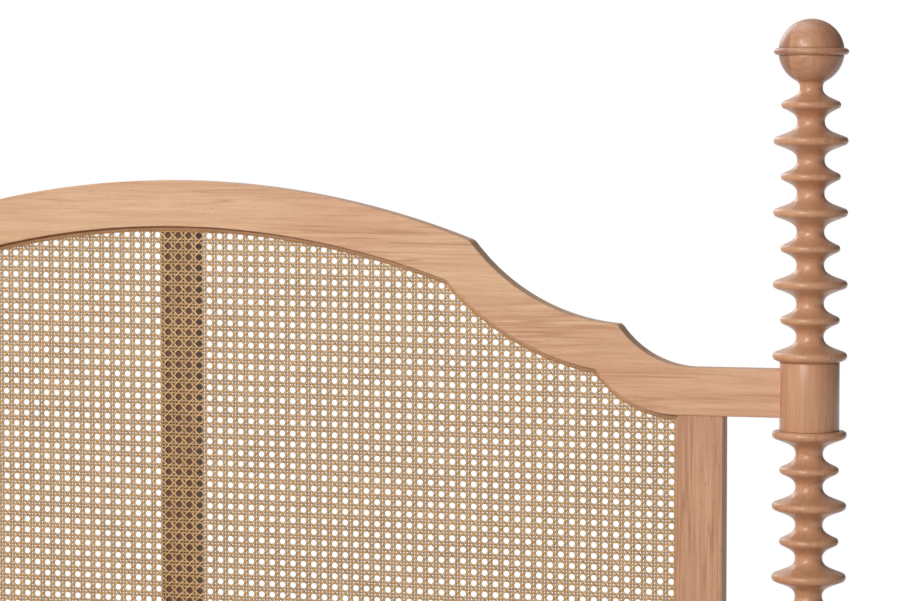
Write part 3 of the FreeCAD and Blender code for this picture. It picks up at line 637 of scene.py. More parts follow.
@dataclass(frozen=True)
class Disc:
    """One turned disc: a round nose and, on each side, a taper that hollows down to the neck."""

    radius: float
    nose: float
    slope_degrees: float
    reach: float
    taper: float
    hollow: float

    def nose_rows(self) -> Array:
        """Upper half of the nose: r = radius - nose (1 - cos t), h = nose sin t."""
        t = np.linspace(0.0, math.radians(90.0 - self.slope_degrees), 9)
        return columns(self.radius - self.nose * (1 - np.cos(t)), self.nose * np.sin(t))

    def half(self, neck: float) -> Array:
        """Upper half of the disc, from the nose's middle to the neck.

        From the nose a cubic curve runs on: it leaves along the taper, at the slope, for a
        handle of length `taper`, and meets the neck upright over a handle of length `hollow`.

        Args:
            neck: Radius of the neck at the hollow's end.

        Returns:
            Rows of radius and height over the disc's middle.
        """
        nose = self.nose_rows()
        slope = math.radians(self.slope_degrees)
        start, stop = nose[-1], np.array([neck, self.reach])
        leave = start + self.taper * np.array([-math.cos(slope), math.sin(slope)])
        meet = stop - np.array([0.0, self.hollow])
        t = np.linspace(0.0, 1.0, 14)[1:, None]
        s = 1 - t
        curve = s**3 * start + 3 * t * s**2 * leave + 3 * t**2 * s * meet + t**3 * stop
        return np.concatenate([nose, curve])


LARGE = Disc(radius=0.0436, nose=0.0051, slope_degrees=22.0, reach=0.0226, taper=0.015, hollow=0.0105)
SMALL = Disc(radius=0.0348, nose=0.0046, slope_degrees=25.5, reach=0.0191, taper=0.009, hollow=0.008)

# Rows of radius and height: over the bun foot, under the ball, and of the glide
ANKLE = np.array([[0.0225, 0.0006], [0.0188, 0.004], [0.0168, 0.010], [0.016, 0.017]])
SEAT = np.array([[0.0136, -0.0035], [0.0143, -0.0016], [0.0152, -0.0002], [0.0162, 0.0010]])
GLIDE = np.array([[0.0185, 0.0], [0.0198, 0.0006], [0.02, 0.002], [0.02, 0.005]])


@dataclass
class BobbinPost:
    """One whole post: bun foot, two or three rows of discs, and plain blocks between."""

    name: str
    side: float
    end: str
    neck: float = 0.016
    top_neck: float = 0.0134
    pitch: float = 0.0419
    long_row: int = 12
    top_row: int = 7
    collar_above: float = 0.0071
    collar_below: float = 0.0047
    block_ease: float = 0.0008
    block_sink: float = 0.0004
    cut: float = 0.0001
    finial_rise: float = 0.0619
    ball_seat: float = 0.03588

    @property
    def axis(self) -> tuple[float, float]:
        """Place of the post's axis."""
        return PLACES.post_x * self.side, PLACES.post_y * ENDS[self.end]

    @property
    def top_block(self) -> float:
        """Top of the highest plain block."""
        return (PLACES.crest_block if self.end == "head" else PLACES.rail_block)[1]

    @property
    def ball_middle(self) -> float:
        """Height of the ball's middle, over the highest disc."""
        return self.top_block + self.collar_above + self.pitch * self.top_row + self.finial_rise

    def row(self, collar: float, pitches: int, on_block: bool, under_block: bool) -> Array:
        """Profile of large and small discs in turn; the lowest on a block is a large one.

        Args:
            collar: Level of the lowest disc's middle.
            pitches: Steps from the lowest disc to the highest.
            on_block: True where the row stands on a block.
            under_block: True where a block stands on the row.

        Returns:
            Rows of radius and height, from the lowest up.
        """
        rows = []
        for index in range(pitches + 1):
            disc = LARGE if (index % 2 == 0) == on_block else SMALL
            level = np.array([0.0, collar + self.pitch * index])
            last = index == pitches
            below, above = disc.half(self.neck), disc.half(self.neck)
            if index == 0 and on_block:
                below = self._to_block(disc, self.collar_above)
            if last and under_block:
                above = self._to_block(disc, self.collar_below)
            elif last:
                above = disc.half(self.top_neck)
            rows += [below[:0:-1] * FLIP + level, above + level]
        return np.concatenate(rows)

    def _to_block(self, disc: Disc, gap: float) -> Array:
        """Half of a collar beside a block: the nose, cut off by the block or tapering to it."""
        rows = disc.nose_rows()
        rows = rows[rows[:, 1] < gap - self.cut]
        return np.concatenate([rows, [[PLACES.block_radius - self.block_sink, gap]]])

    def profile(self) -> Array:
        """Radius and height of the whole post, from the floor glide to the ball's seat.

        Rows that would fall back below an earlier one are dropped, so the surface never folds.
        """
        low, high = PLACES.rail_block
        lowest = self.row(low - self.collar_below - self.pitch, 1, False, True)
        parts = [self._bun_foot(), lowest, self._block(low, high)]
        if self.end == "head":
            parts.append(self.row(high + self.collar_above, self.long_row, True, True))
            parts.append(self._block(*PLACES.crest_block))
        parts.append(self.row(self.top_block + self.collar_above, self.top_row, True, False))
        parts.append(SEAT + np.array([0.0, self.ball_middle - self.ball_seat]))
        rows = np.concatenate(parts)
        return rows[rows[:, 1] >= np.maximum.accumulate(rows[:, 1]) - 1e-7]

    def _block(self, low: float, high: float) -> Array:
        """A plain cylinder with eased ends: r = block radius, less a quarter circle at each end."""
        t = np.linspace(0.0, math.pi / 2, 4)
        near, far = self.block_ease * (1 - np.cos(t)), self.block_ease * (1 - np.sin(t))
        radius = PLACES.block_radius
        return np.concatenate([columns(radius - far, low + near), columns(radius - near, high - far)])

    @staticmethod
    def _bun_foot() -> Array:
        """A flattened ball foot: the radius follows a superellipse about the foot's middle."""
        low, high, middle = 0.005, 0.0655, 0.036
        core, bulge, seat_radius = 0.028, 0.012, 0.0275
        flatness, roundness, height_share = 2.6, 2.2, 0.93
        t = np.linspace(-1.0, 1.0, 25)
        radius = core + bulge * (1 - np.abs(t) ** flatness) ** (1 / roundness)
        foot = columns(radius, middle + (middle - low) * height_share * t)
        foot[0] = (seat_radius, low)
        return np.concatenate([foot, ANKLE + np.array([0.0, high])])

    def build(self) -> None:
        """Make the post's mesh."""
        finish = "post" if self.end == "head" else "foot_post"
        form = turned(self.profile(), *self.axis)
        show(f"{self.name}_turned", form, finish, self.name, sharp_degrees=50.0)


@dataclass
class Finials:
    """Ball finials with a raised ring, and the glides under the posts."""

    ball: float = 0.0383
    ring: float = 0.0437
    ring_half: float = 0.0043
    ring_sink: float = 0.0004
    groove: float = 0.0006
    pin: float = 0.0006
    tip: float = 0.01

    def profile(self, middle: float, seat: float) -> Array:
        """A circle of the ball's radius with an elliptic ring at its middle.

        The ball is r = ball cos t, h = ball sin t; the ring is r = root + nose cos s,
        h = ring_half sin s. A small groove is left under and over the ring.
        """
        gap = math.asin((self.ring_half + self.groove) / self.ball)
        low = np.linspace(math.asin(-seat / self.ball), -gap, 26)
        high = np.linspace(gap, math.pi / 2 - self.tip, 34)
        root = self.ball * math.cos(gap) - self.ring_sink
        s = np.linspace(-math.pi / 2, math.pi / 2, 17)
        ring = columns(root + (self.ring - root) * np.cos(s), self.ring_half * np.sin(s))
        ball = [columns(self.ball * np.cos(t), self.ball * np.sin(t)) for t in (low, high)]
        rows = np.concatenate([[[self.pin, -seat]], ball[0], ring, ball[1]])
        return rows + np.array([0.0, middle])

    def build(self, posts: list[BobbinPost]) -> None:
        """Make the four balls and the four glides."""
        balls = joined([turned(self.profile(p.ball_middle, p.ball_seat), *p.axis) for p in posts])
        glides = joined([turned(GLIDE, *post.axis, 48) for post in posts])
        show("ball_finials", balls, "finial", "post_finials", sharp_degrees=50.0)
        show("felt_glides", glides, "felt", "post_glides")


# Headboard


@dataclass(frozen=True)
class Outline:
    """One edge of the crest over X: an arch, two hollow coves and a level run, on both sides."""

    level: float
    apex: float
    arch: float
    first_step: float
    first_cove: float
    second_step: float
    second_cove: float
    cove_end: float
    easing: float

    def height(self, x: Array) -> Array:
        """Height of the outline.

        The arch is apex - R + sqrt(R^2 - x^2); the second cove is a quarter hollow that ends
        level at cove_end; the first cove is the hollow arc of radius r through the two steps:
        its middle lies over the chord, sqrt(r^2 - (chord / 2)^2) away.
        """
        a, first, second = np.abs(x), self.first_step, self.second_step
        arch, cove, last = self.arch, self.first_cove, self.second_cove
        hub, rim = self.apex - arch, self.level + last
        arch_z = hub + np.sqrt(np.maximum(arch**2 - a**2, 0.0))
        last_z = rim - np.sqrt(np.maximum(last**2 - (a - self.cove_end) ** 2, 0.0))
        z1 = hub + math.sqrt(arch**2 - first**2)
        z2 = rim - math.sqrt(last**2 - (second - self.cove_end) ** 2)
        chord = np.array([second - first, z2 - z1])
        length = float(np.linalg.norm(chord))
        across = np.array([-chord[1], chord[0]]) / length
        middle = np.array([first, z1]) + chord / 2 + across * math.sqrt(cove**2 - length**2 / 4)
        cove_z = middle[1] - np.sqrt(np.maximum(cove**2 - (a - middle[0]) ** 2, 0.0))
        outside = np.where(a <= second, cove_z, np.where(a <= self.cove_end, last_z, self.level))
        return np.where(a <= first, arch_z, outside)

    def line(self, x: Array) -> Array:
        """Points (x, z), the height being its mean over a short reach, which eases the corners."""
        shifts = np.linspace(-self.easing, self.easing, 9)
        return columns(x, np.mean([self.height(x + shift) for shift in shifts], axis=0))

    def stations(self, rabbet_end: float) -> Array:
        """X places from the left shoulder to the right; both outlines have as many."""
        end = PLACES.shoulder_x
        marks = [0.0, self.first_step, self.second_step, self.cove_end]
        marks += [rabbet_end, rabbet_end + PLACES.rabbet_jump, end]
        counts = [130, 80, 44, 5, 1, 24]
        runs = [np.linspace(a, b, n, endpoint=False) for a, b, n in zip(marks, marks[1:], counts)]
        half = np.concatenate(runs + [[end]])
        return np.concatenate([-half[:0:-1], half])


TOP = Outline(
    level=PLACES.end_rail_top, apex=PLACES.end_rail_top + PLACES.crest_rise, arch=1.057,
    first_step=0.3765, first_cove=0.246, second_step=0.558, second_cove=0.113, cove_end=0.6515,
    easing=0.0018,
)
UNDERSIDE = Outline(
    level=PLACES.end_rail_low, apex=TOP.apex - PLACES.crest_width, arch=1.018,
    first_step=0.3475, first_cove=0.322, second_step=0.5318, second_cove=0.120,
    cove_end=PLACES.stile_inner, easing=0.0012,
)


def normals(points: Array) -> Array:
    """Unit normals of a line of points, on its left side going along it."""
    along = np.gradient(points, axis=0)
    across = columns(-along[:, 1], along[:, 0])
    return across / np.linalg.norm(across, axis=-1, keepdims=True)


@dataclass
class Headboard:
    """Crest rail, stiles, lower rail, frame strips behind the cane and the middle brace."""

    arris: float = 0.0013
    arris_margin: float = 0.0004
    board_arris: float = 0.0009
    sharpest: float = 0.3
    ledge: float = 0.005
    play: float = 0.0002
    brace_half: float = 0.02125
    brace_depth: float = 0.040
    brace_gap: float = 0.0006
    brace_lap: float = 0.040
    reed_width: float = 0.0064
    reed_height: float = 0.0020
    reed_sink: float = 0.0003

    @staticmethod
    def _line(base: Array, normal: Array, shifts: Array, y: Array) -> Array:
        """Section points at shifts along a normal, each at its own place y."""
        flat = base[:, None, :] + normal[:, None, :] * shifts[None, :, None]
        return columns(flat[..., 0], y, flat[..., 1])

    def crest(self) -> Form:
        """The crest board in two layers: a full front layer and a back layer cut by the rabbet.

        Each section runs from the underside to the top; the arris at an edge is a quarter
        circle, shift = r (1 - cos t) into the face and depth = r (1 - sin t) from the front.
        The rabbet is the underside moved into the wood, and level again past the opening.
        """
        p, r = PLACES, self.arris
        x = UNDERSIDE.stations(p.rabbet_end)
        inner, outer = UNDERSIDE.line(x), TOP.line(TOP.stations(p.over_rabbet_end))
        ni, no = normals(inner), normals(outer)
        cut = inner + ni * p.rabbet
        cut[:, 0] = np.where(np.abs(x) > p.stile_inner, x, cut[:, 0])
        past = np.abs(x) > p.rabbet_end + p.rabbet_jump / 2
        cut = np.where(past[:, None], inner, cut)
        t = np.linspace(0.0, math.pi / 2, 5)
        ins, depths = r * (1 - np.cos(t)), r * (1 - np.sin(t))
        zero, hold = np.zeros(1), np.array([r + self.arris_margin])
        split, far = np.array([p.cane_depth]), np.array([p.board])
        front = (
            (inner, ni, zero, split), (inner, ni, ins, depths), (inner, ni, hold, zero),
            (outer, no, -hold, zero), (outer, no, -ins[::-1], depths[::-1]), (outer, no, zero, split),
        )
        back = (
            (cut, ni, zero, split), (outer, no, zero, split), (outer, no, -ins, p.board - depths),
            (outer, no, -hold, far), (cut, ni, zero, far),
        )
        layers = []
        for layer in (front, back):
            faces = [self._line(*face, p.front + depth) for *face, depth in layer]
            layers.append(swept(np.concatenate(faces, axis=1)))
        return joined(layers)

    def opening(self, side: float, start: float) -> tuple[Array, Array]:
        """Half of the opening's edge, and at each point the way that a section leans there.

        At a corner the lean is the mitre: the mean of the two normals, divided by the cosine
        of half the turn.

        Args:
            side: 1 for the right half, -1 for the left.
            start: Distance of both ends from the bed's middle.

        Returns:
            Points (x, z) and leans, both turned to the side.
        """
        stile = PLACES.stile_inner
        bottom = columns(np.linspace(start, stile, 3), PLACES.rail_top)
        upright = np.array([[stile, z] for z in (0.6, 0.8)])
        path = np.concatenate([bottom, upright, UNDERSIDE.line(np.linspace(stile, start, 230))])
        step = np.diff(path, axis=0)
        step /= np.linalg.norm(step, axis=-1, keepdims=True)
        out = columns(step[:, 1], -step[:, 0])
        before, after = np.concatenate([out[:1], out]), np.concatenate([out, out[-1:]])
        lean = before + after
        lean /= np.linalg.norm(lean, axis=-1, keepdims=True)
        lean /= np.maximum(np.sum(lean * before, axis=-1, keepdims=True), self.sharpest)
        mirror = np.array([side, 1.0])
        return path * mirror, lean * mirror

    def edge_reed(self, side: float) -> Form:
        """Half of the reed that covers the cane's edge: half an ellipse carried round the opening.

        The section's point at angle t lies reed_width (1 + cos t) / 2 inside the edge and
        reed_height sin t in front of the cane.
        """
        path, lean = self.opening(side, 0.0)
        t = np.linspace(0.0, math.pi, 8)
        inwards = -0.5 * self.reed_width * (1 + np.cos(t)) + self.play
        y = PLACES.cane_front - self.reed_height * np.sin(t) + self.reed_sink
        return swept(self._line(path, lean, inwards, y))

    def frame_strip(self, side: float) -> Form:
        """Half of the strip that backs the cane: a flat section carried round the opening."""
        path, lean = self.opening(side, self.brace_half + self.play)
        near, far, outer = PLACES.cane_back, PLACES.back, PLACES.rabbet - self.play
        reach = np.array([-self.ledge, outer, outer, -self.ledge])
        return swept(self._line(path, lean, reach, np.array([near, near, far, far])))

    def boards(self) -> None:
        """Stiles and lower rail, each a front layer and a rabbeted back layer, and the foot rail."""
        p = PLACES
        split, inside, ledge = p.cane_front, p.stile_inner + p.rabbet, p.rail_top - p.rabbet
        for name, side in SIDES.items():
            outer = p.stile_outer * side
            front = block((p.stile_inner * side, p.front, p.rail_top), (outer, split, p.end_rail_low))
            back = block((inside * side, split, p.rail_top), (outer, p.back, p.end_rail_low))
            stile, strip = joined([front, back]), self.frame_strip(side)
            node = f"head_stile_{name}"
            show(f"stile_{name}", stile, "stile", node, arris=self.board_arris)
            node = f"cane_frame_{name}"
            show(f"cane_frame_strip_{name}", strip, "frame_strip", node)
        x, finish = p.shoulder_x, "cross_rail"
        layers = [
            block((-x, p.front, p.rail_low), (x, split, p.rail_top)),
            block((-x, split, p.rail_low), (x, p.back, ledge)),
            block((-x, split, ledge), (-inside, p.back, p.rail_top)),
            block((x, split, ledge), (inside, p.back, p.rail_top)),
        ]
        low_rail, slot = joined(layers), "cross_rail_wood"
        show("headboard_low_rail", low_rail, finish, "head_lower_rail", arris=self.board_arris)
        foot = block((-x, -p.front, p.rail_low), (x, -p.back, p.rail_top))
        show("foot_cross_rail", foot, finish, "foot_rail", arris=p.rail_arris)

    def brace(self) -> Form:
        """The upright batten behind the cane, with its laps over both rails."""
        p, half = PLACES, self.brace_half
        near = p.cane_back + self.brace_gap
        low, high = p.rail_top - p.rabbet + self.play, UNDERSIDE.apex + p.rabbet - 2 * self.play
        batten = block((-half, near, low), (half, p.back, high))
        lap_low, lap_high = p.rail_top - self.brace_lap, UNDERSIDE.apex + self.brace_lap
        lap = block((-half, p.back, lap_low), (half, near + self.brace_depth, lap_high))
        return joined([batten, lap])

    def build(self) -> None:
        """Make the headboard's wooden pieces."""
        sawn = PLACES.sawn_arris
        show("crest_board", self.crest(), "crest", "crest_rail", sharp_degrees=30.0)
        self.boards()
        reeds = joined([self.edge_reed(side) for side in SIDES.values()])
        show("edge_reed", reeds, "reed", None, sharp_degrees=60.0)
        show("brace_batten", self.brace(), "brace", "centre_brace", arris=sawn)


class Lay(NamedTuple):
    """How a family of cane strands lies, in mesh steps (u, v)."""

    way: tuple[float, float]
    offset: tuple[float, float]
    paired: bool
    layer: float
    bend: float


FAMILIES = {
    "upright": Lay(way=(0.0, 1.0), offset=(1.0, 0.0), paired=True, layer=0.00015, bend=0.0002),
    "level": Lay(way=(1.0, 0.0), offset=(0.0, 1.0), paired=True, layer=-0.00015, bend=0.0002),
    "rising": Lay(way=(1.0, 1.0), offset=(0.0, -1.0), paired=False, layer=0.0, bend=0.0008),
    "falling": Lay(way=(1.0, -1.0), offset=(0.0, 1.0), paired=False, layer=0.0, bend=-0.0008),
}


@dataclass
class CaneWeave:
    """Six-way cane: upright pairs, level pairs that slope a little, and diagonals both ways."""

    pitch_x: float = 0.013485
    pitch_z: float = 0.01322
    hole_x: float = 0.33812
    hole_z: float = 0.94663
    row_slope: float = -0.0117
    reach: int = 130
    pair_gap: float = 0.00190
    width: float = 0.0023
    thickness: float = 0.0008
    squeeze: float = 0.010
    squeeze_from: float = 0.217
    tuck: float = 0.0108

    def _inside(self, x: Array, z: Array) -> Array:
        """True where a point lies in the opening or tucked behind its edge."""
        under = UNDERSIDE.line(np.linspace(0.0, PLACES.stile_inner, 400))
        edge = under + normals(under) * self.tuck
        top = np.interp(np.abs(x), edge[:, 0], edge[:, 1])
        wide = np.abs(x) < PLACES.stile_inner + self.tuck
        return wide & (z > PLACES.rail_top - self.tuck) & (z < top)

    def _stations(self, lay: Lay) -> tuple[Array, Array, Array]:
        """X and Z of every station of a family, and its place t along the strand.

        A strand is offset c across its way: (u, v) = t way + c offset. Left of squeeze_from
        the mesh is tighter by the share squeeze, as hand-laid cane is somewhere.
        """
        order = np.arange(-self.reach, self.reach + 1)
        if lay.paired:
            gap = self.pair_gap / (self.pitch_x if lay.way[1] else self.pitch_z)
            c = columns(order - gap, order + gap).reshape(-1, 1)
        else:
            c = (order + 0.5)[:, None]
        t = np.arange(-2 * self.reach, 2 * self.reach + 1)[None, :] * 0.5
        u, v = (way * t + offset * c for way, offset in zip(lay.way, lay.offset))
        x = (self.hole_x / self.pitch_x - 0.5 + u) * self.pitch_x
        x = x + self.squeeze * np.maximum(0.0, self.squeeze_from - x)
        z = (self.hole_z / self.pitch_z - 0.5 + v) * self.pitch_z
        return x, z + (x - self.hole_x) * self.row_slope, t

    def family(self, lay: Lay) -> Form:
        """All the strands of one family, each a flat diamond carried along its stations.

        A pair bends by bend cos(pi m) from one crossing m to the next. A diagonal bends by
        bend cos(2 pi t): the falling ones pass in front of the upright pairs and behind the
        level ones, and the rising ones the other way. Only stretches between two points of
        the opening are kept.

        Args:
            lay: How the family lies.

        Returns:
            One form with every strand of the family.
        """
        x, z, t = self._stations(lay)
        inside = self._inside(x, z)
        used, reached = inside.any(axis=1), inside.any(axis=0)
        x, z, inside = (grid[used][:, reached] for grid in (x, z, inside))
        u, v = lay.way
        direction = np.array([u * self.pitch_x, v * self.pitch_z + u * self.pitch_x * self.row_slope])
        direction /= np.linalg.norm(direction)
        across = np.array([-direction[1], direction[0]])
        phase = math.tau * t[:, reached]
        if lay.paired:
            phase = math.pi * (np.arange(x.shape[0])[:, None] + np.arange(x.shape[1])[None, :])
        middle = PLACES.cane_front + PLACES.cane_thickness / 2 + lay.layer
        y = middle + lay.bend * np.cos(phase) + 0.0 * x
        corners = np.array([[-0.5, 0.0], [0.0, -0.5], [0.5, 0.0], [0.0, 0.5]])
        side, lift = corners[:, 0] * self.width, corners[:, 1] * self.thickness
        x, y, z = (grid[..., None] for grid in (x, y, z))
        return self._tubes(columns(x + across[0] * side, y + lift, z + across[1] * side), inside)

    @staticmethod
    def _tubes(points: Array, inside: Array) -> Form:
        """Quads round every stretch whose two stations are inside, and a cap at each end."""
        strands, stations = inside.shape
        index = np.arange(strands * stations * 4).reshape(strands, stations, 4)
        kept = inside[:, :-1] & inside[:, 1:]
        near, far = index[:, :-1][kept], index[:, 1:][kept]
        beside = np.roll(np.arange(4), -1)
        sides = np.stack([near, near[:, beside], far[:, beside], far], axis=-1).reshape(-1, 4)
        padded = np.pad(kept, ((0, 0), (1, 1)))
        starts = index[padded[:, 1:] & ~padded[:, :-1]][:, ::-1]
        stops = index[padded[:, :-1] & ~padded[:, 1:]]
        used, compact = np.unique(np.concatenate([sides, starts, stops]), return_inverse=True)
        # 1 on the long edges, where the cane finish paints shade; 0 on the ridges.
        painted_shade_rims = (used % 2 == 0).astype(float)
        return Form(points.reshape(-1, 3)[used], compact.reshape(-1, 4), painted_shade_rims=painted_shade_rims).outward()

    def build(self) -> None:
        """Make one piece for each family of strands."""
        for name, lay in FAMILIES.items():
            finish = "cane" if lay.paired else "cane_diagonal"
            show(f"cane_{name}", self.family(lay), finish, "cane_panel", sharp_degrees=80.0)


# Rails, slats and what carries them


@dataclass
class SlatBase:
    """Side rails, ledgers, slats, centre beam, brackets and the bed's screws."""

    slat_count: int = 14
    slat_reach: float = 0.951
    slat_half: float = 0.035
    slat_thickness: float = 0.019
    slat_gap: float = 0.003
    slat_arris: float = 0.003
    beam_arris: float = 0.0015
    rail_end: float = 1.00492
    ledger_width: float = 0.025
    ledger_height: float = 0.030
    ledger_end: float = 0.991
    beam_half: float = 0.019
    bracket_face: float = 1.019

    @staticmethod
    def screw(at: Place, facing: Place, radius: float = 0.004) -> Form:
        """A screw's domed head with a socket, turned about the way that it faces.

        Its profile is r = radius cos t, h = 0.55 radius sin t, then a dip inside a third of
        the radius.
        """
        t = np.linspace(0.0, 1.1, 5)
        dome = columns(radius * np.cos(t), 0.55 * radius * np.sin(t))
        dip = np.array([[radius * 0.36, radius * 0.46], [radius * 0.30, radius * 0.1]])
        form = turned(np.concatenate([[[radius, -0.0004]], dome, dip]), 0.0, 0.0, 20)
        turn = Vector(UP).rotation_difference(Vector(facing)).to_matrix()
        form.points = form.points @ np.array(turn).T + np.array(at)
        return form

    def build(self) -> None:
        """Make the rails and the slatted base."""
        p = PLACES
        inner = p.post_x - p.board / 2
        ledger_low = p.slat_seat - self.ledger_height
        for name, side in SIDES.items():
            far = ((inner + p.board) * side, self.rail_end, p.rail_top)
            rail = block((inner * side, -self.rail_end, p.rail_low), far)
            node = f"side_rail_{name}"
            show(f"long_rail_{name}", rail, "side_rail", node, arris=p.rail_arris)
            near = ((inner - self.ledger_width) * side, -self.ledger_end, ledger_low)
            ledger = block(near, (inner * side, self.ledger_end, p.slat_seat))
            node = f"slat_ledger_{name}"
            show(f"ledger_{name}", ledger, "beam", node, arris=p.sawn_arris)
        middles = self.slat_reach * (2 * np.arange(self.slat_count) / (self.slat_count - 1) - 1)
        reach, top = inner - self.slat_gap, p.slat_seat + self.slat_thickness
        for number, y in enumerate(middles, start=1):
            slat = block((-reach, y - self.slat_half, p.slat_seat), (reach, y + self.slat_half, top))
            node = f"slat_{number:02d}"
            show(f"slat_piece_{number:02d}", slat, "slat", node, arris=self.slat_arris)
        face, half = self.bracket_face, self.beam_half
        beam = block((-half, -face, p.beam_low), (half, face, p.slat_seat))
        show("centre_beam_board", beam, "beam", "centre_beam", arris=self.beam_arris)
        self._screws(middles.tolist(), inner)

    def _screws(self, middles: list[float], rail_inner: float) -> None:
        """Screw heads on slat ends, ledgers, brackets and the brace's laps; the steel plates."""
        p, sides = PLACES, tuple(SIDES.values())
        slat_x, slat_top = rail_inner - 0.015, p.slat_seat + self.slat_thickness
        ledger_x, ledger_z = rail_inner - self.ledger_width, p.slat_seat - self.ledger_height / 2
        ledger_ys = np.linspace(-0.90, 0.90, 7).tolist()
        bracket_x, bracket_zs = 0.0315, (0.272, 0.310)
        lap_x, lap_y, lap_zs = 0.009, 1.0687, (p.rail_top - 0.022, UNDERSIDE.apex + 0.026)
        spots = [((side * slat_x, y, slat_top), UP) for side, y in product(sides, middles)]
        spots += [
            ((side * ledger_x, y, ledger_z), (-side, 0, 0)) for side, y in product(sides, ledger_ys)
        ]
        spots += [
            ((side * bracket_x, end * self.bracket_face, z), (0, -end, 0))
            for end, side, z in product(ENDS.values(), sides, bracket_zs)
        ]
        spots += [((side * lap_x, lap_y, z), (0, 1, 0), 0.0045) for side, z in product(sides, lap_zs)]
        heads = joined([self.screw(*spot) for spot in spots])
        show("screw_heads", heads, "zinc", None)
        for node in ("beam_bracket_head", "beam_bracket_foot", "post_slot_plates", "rail_hook_plates"):
            dress(node, "zinc")


# Rows of radius and height: of a middle leg, of its insert, and of its foot's pad
LEG = np.array([
    [0.0142, 0.028], [0.015, 0.0288], [0.0185, 0.2], [0.019, 0.25], [0.019, 0.2594], [0.0186, 0.26],
])
INSERT = np.array([
    [0.0052, 0.0266], [0.0102, 0.0266], [0.011, 0.0269], [0.011, 0.028], [0.008, 0.0281],
    [0.008, 0.042],
])
PAD = np.array([
    [0.0188, 0.0], [0.02, 0.0012], [0.02, 0.0034], [0.0192, 0.0046], [0.0095, 0.0088],
    [0.009, 0.009],
])


@dataclass
class CentreSupport:
    """A turned middle leg with a brass insert and a screw-in levelling foot."""

    name: str
    y: float
    thread_pitch: float = 0.002
    thread_radius: float = 0.0048
    thread_depth: float = 0.0002

    def foot(self) -> Form:
        """The pad, and a stem whose radius rises and falls along a helix.

        On the stem r = radius + depth cos(2 pi (h / pitch) - a), with a the angle.
        """
        heights = np.arange(0.0085, 0.0797, self.thread_pitch / 6)[:, None]
        angles = np.arange(28) * math.tau / 28
        wave = np.cos(math.tau * heights / self.thread_pitch - angles[None, :])
        radius = self.thread_radius + self.thread_depth * wave
        stem = columns(radius * np.cos(angles), self.y + radius * np.sin(angles), heights)
        return joined([turned(PAD, 0.0, self.y, 64), swept(stem)])

    def build(self) -> None:
        """Make the leg and its foot."""
        node, foot = f"centre_leg_{self.name}", f"levelling_foot_{self.name}"
        show(f"middle_leg_{self.name}", turned(LEG, 0.0, self.y, 64), "leg", node)
        show(f"screw_foot_{self.name}", self.foot(), "zinc", foot, body=foot)


def build_centre_supports() -> None:
    """Make the three middle legs, and their inserts as one piece."""
    supports = [CentreSupport(*row) for row in (("head", 0.511), ("middle", 0.0), ("foot", -0.511))]
    for support in supports:
        support.build()
    inserts = joined([turned(INSERT, 0.0, support.y, 48) for support in supports])
    show("brass_inserts", inserts, "brass", "leg_inserts")


# Studio and camera


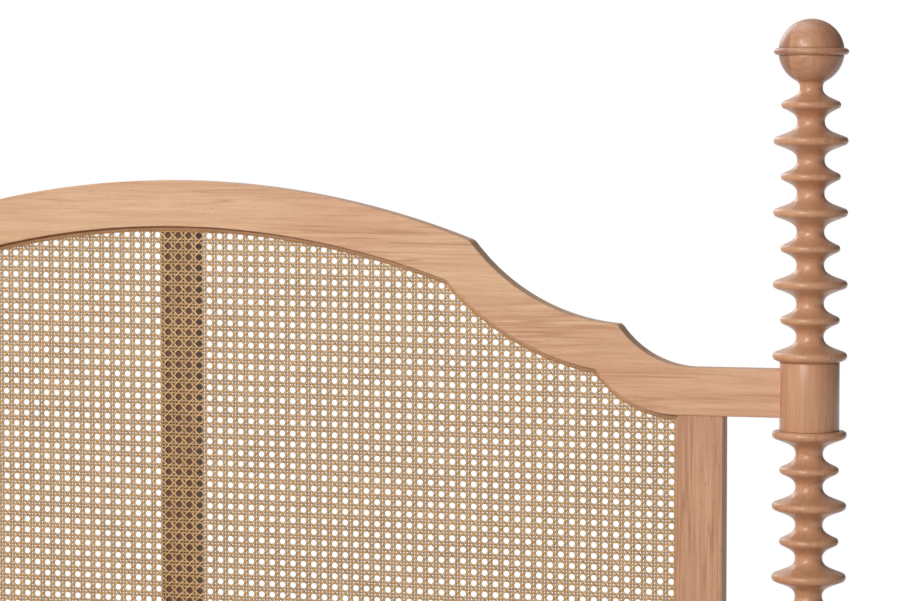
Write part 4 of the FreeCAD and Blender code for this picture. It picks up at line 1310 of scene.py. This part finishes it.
@dataclass
class Studio:
    """Pale floor, white surround and soft lamps."""

    floor_reach: float = 30.0
    fill: float = 0.20
    bright_side: Place = (-0.95, -0.30, 0.0)

    def floor(self) -> None:
        """A pale floor that takes the bed's shadow and fades to plain white away from it."""
        reach = self.floor_reach
        corners = [(x * reach, y * reach, 0.0) for x, y in ((-1, -1), (1, -1), (1, 1), (-1, 1))]
        mesh = bpy.data.meshes.new("floor")
        mesh.from_pydata(corners, [], [(0, 1, 2, 3)])
        n = Paint("floor_paint")
        place = n.place()
        grain = n.ease(n.noise(place, 60.0, 3.0), 0.3, 0.7)
        paint = n.mix(grain, colour((246, 246, 245)), colour((243, 243, 242)))
        n.link(paint, n.shader.inputs["Base Color"])
        n.shader.inputs["Roughness"].default_value = 0.8
        ray = n.add("LightPath").outputs
        seen = n.math("MAXIMUM", ray["Is Camera Ray"], ray["Is Glossy Ray"])
        seen = n.math("MAXIMUM", seen, ray["Is Transmission Ray"])
        away = n.ease(n.vector("LENGTH", place), 1.9, 3.6, 0.5, 1.0)
        glow = n.add("Emission", WHITE).outputs[0]
        both = n.add("MixShader", n.times(away, seen), n.shader.outputs[0], glow)
        n.link(both.outputs[0], n.out.inputs["Surface"])
        mesh.materials.append(n.material)
        added("floor", mesh)

    def surround(self) -> None:
        """White where it is seen; gloss sees it dimmer on one side, and the bed gets a weak fill."""
        world = bpy.data.worlds.new("surround")
        bpy.context.scene.world = world
        world.use_nodes = True
        n = Nodes(world.node_tree)
        ray = n.add("LightPath").outputs
        dimmed = n.ease(n.vector("DOT_PRODUCT", n.place(), self.bright_side), -0.45, 0.15, 0.25, 1.0)
        gloss = n.math("MAXIMUM", ray["Is Glossy Ray"], ray["Is Transmission Ray"])
        level = n.times(dimmed, n.math("MULTIPLY_ADD", gloss, 1.0 - self.fill, self.fill))
        background = n.tree.nodes["Background"].inputs
        n.link(n.math("MAXIMUM", level, ray["Is Camera Ray"]), background["Strength"])
        background["Color"].default_value = WHITE

    @staticmethod
    def lamp(name: str, at: Place, aim: Place, size: float, power: float) -> None:
        """One square soft lamp that faces a point."""
        data = bpy.data.lights.new(name, "AREA")
        data.size = size
        data.energy = power
        lamp = added(name, data)
        lamp.location = at
        lamp.rotation_euler = (Vector(aim) - Vector(at)).to_track_quat("-Z", "Y").to_euler()

    def build(self) -> None:
        """Set up floor, surround and lamps."""
        self.surround()
        self.floor()
        self.lamp("key", (-1.5, -8.2, 4.0), (0.4, 1.0, 1.05), 2.8, 545.0)
        self.lamp("spark", (-3.4, -6.2, 6.8), (0.5, 1.0, 1.1), 0.38, 200.0)
        self.lamp("top", (-0.3, 1.5, 4.3), (0.2, 1.0, 1.2), 2.0, 24.0)
        self.lamp("rear", (-2.2, 3.8, 3.2), (0.0, 0.4, 0.6), 2.4, 40.0)


@dataclass
class PhotoCamera:
    """The photograph's viewpoint: a long lens, in front of the headboard and to its right."""

    target: Place = (0.3523, 1.022, 1.1281)
    offset: Place = (1.2307, -4.3444, 0.2555)
    lens_mm: float = 151.28
    roll_degrees: float = 0.027

    def build(self) -> None:
        """Make the camera and look through it."""
        data = bpy.data.cameras.new("photo_camera")
        data.sensor_width = 36.0
        data.lens = self.lens_mm
        data.clip_end = 100.0
        camera = added("photo_camera", data)
        target, offset = Vector(self.target), Vector(self.offset)
        forward = -offset.normalized()
        right = forward.cross(Vector(UP)).normalized()
        up = right.cross(forward)
        roll = math.radians(self.roll_degrees)
        leaned = right * math.cos(roll) + up * math.sin(roll)
        axes = Matrix((leaned, leaned.cross(forward), -forward)).transposed()
        camera.matrix_world = Matrix.Translation(target + offset) @ axes.to_4x4()
        bpy.context.scene.camera = camera
        bpy.context.scene.view_settings.view_transform = "Standard"


def main() -> None:
    """Build the bed, the studio and the camera."""
    logging.basicConfig(level=logging.INFO, format="%(name)s: %(message)s")
    posts = [
        BobbinPost(f"{end}_post_{name}", side, end) for end in ENDS for name, side in SIDES.items()
    ]
    for post in posts:
        post.build()
    Finials().build(posts)
    Headboard().build()
    CaneWeave().build()
    SlatBase().build()
    build_centre_supports()
    Studio().build()
    PhotoCamera().build()


if __name__ == "__main__":
    main()
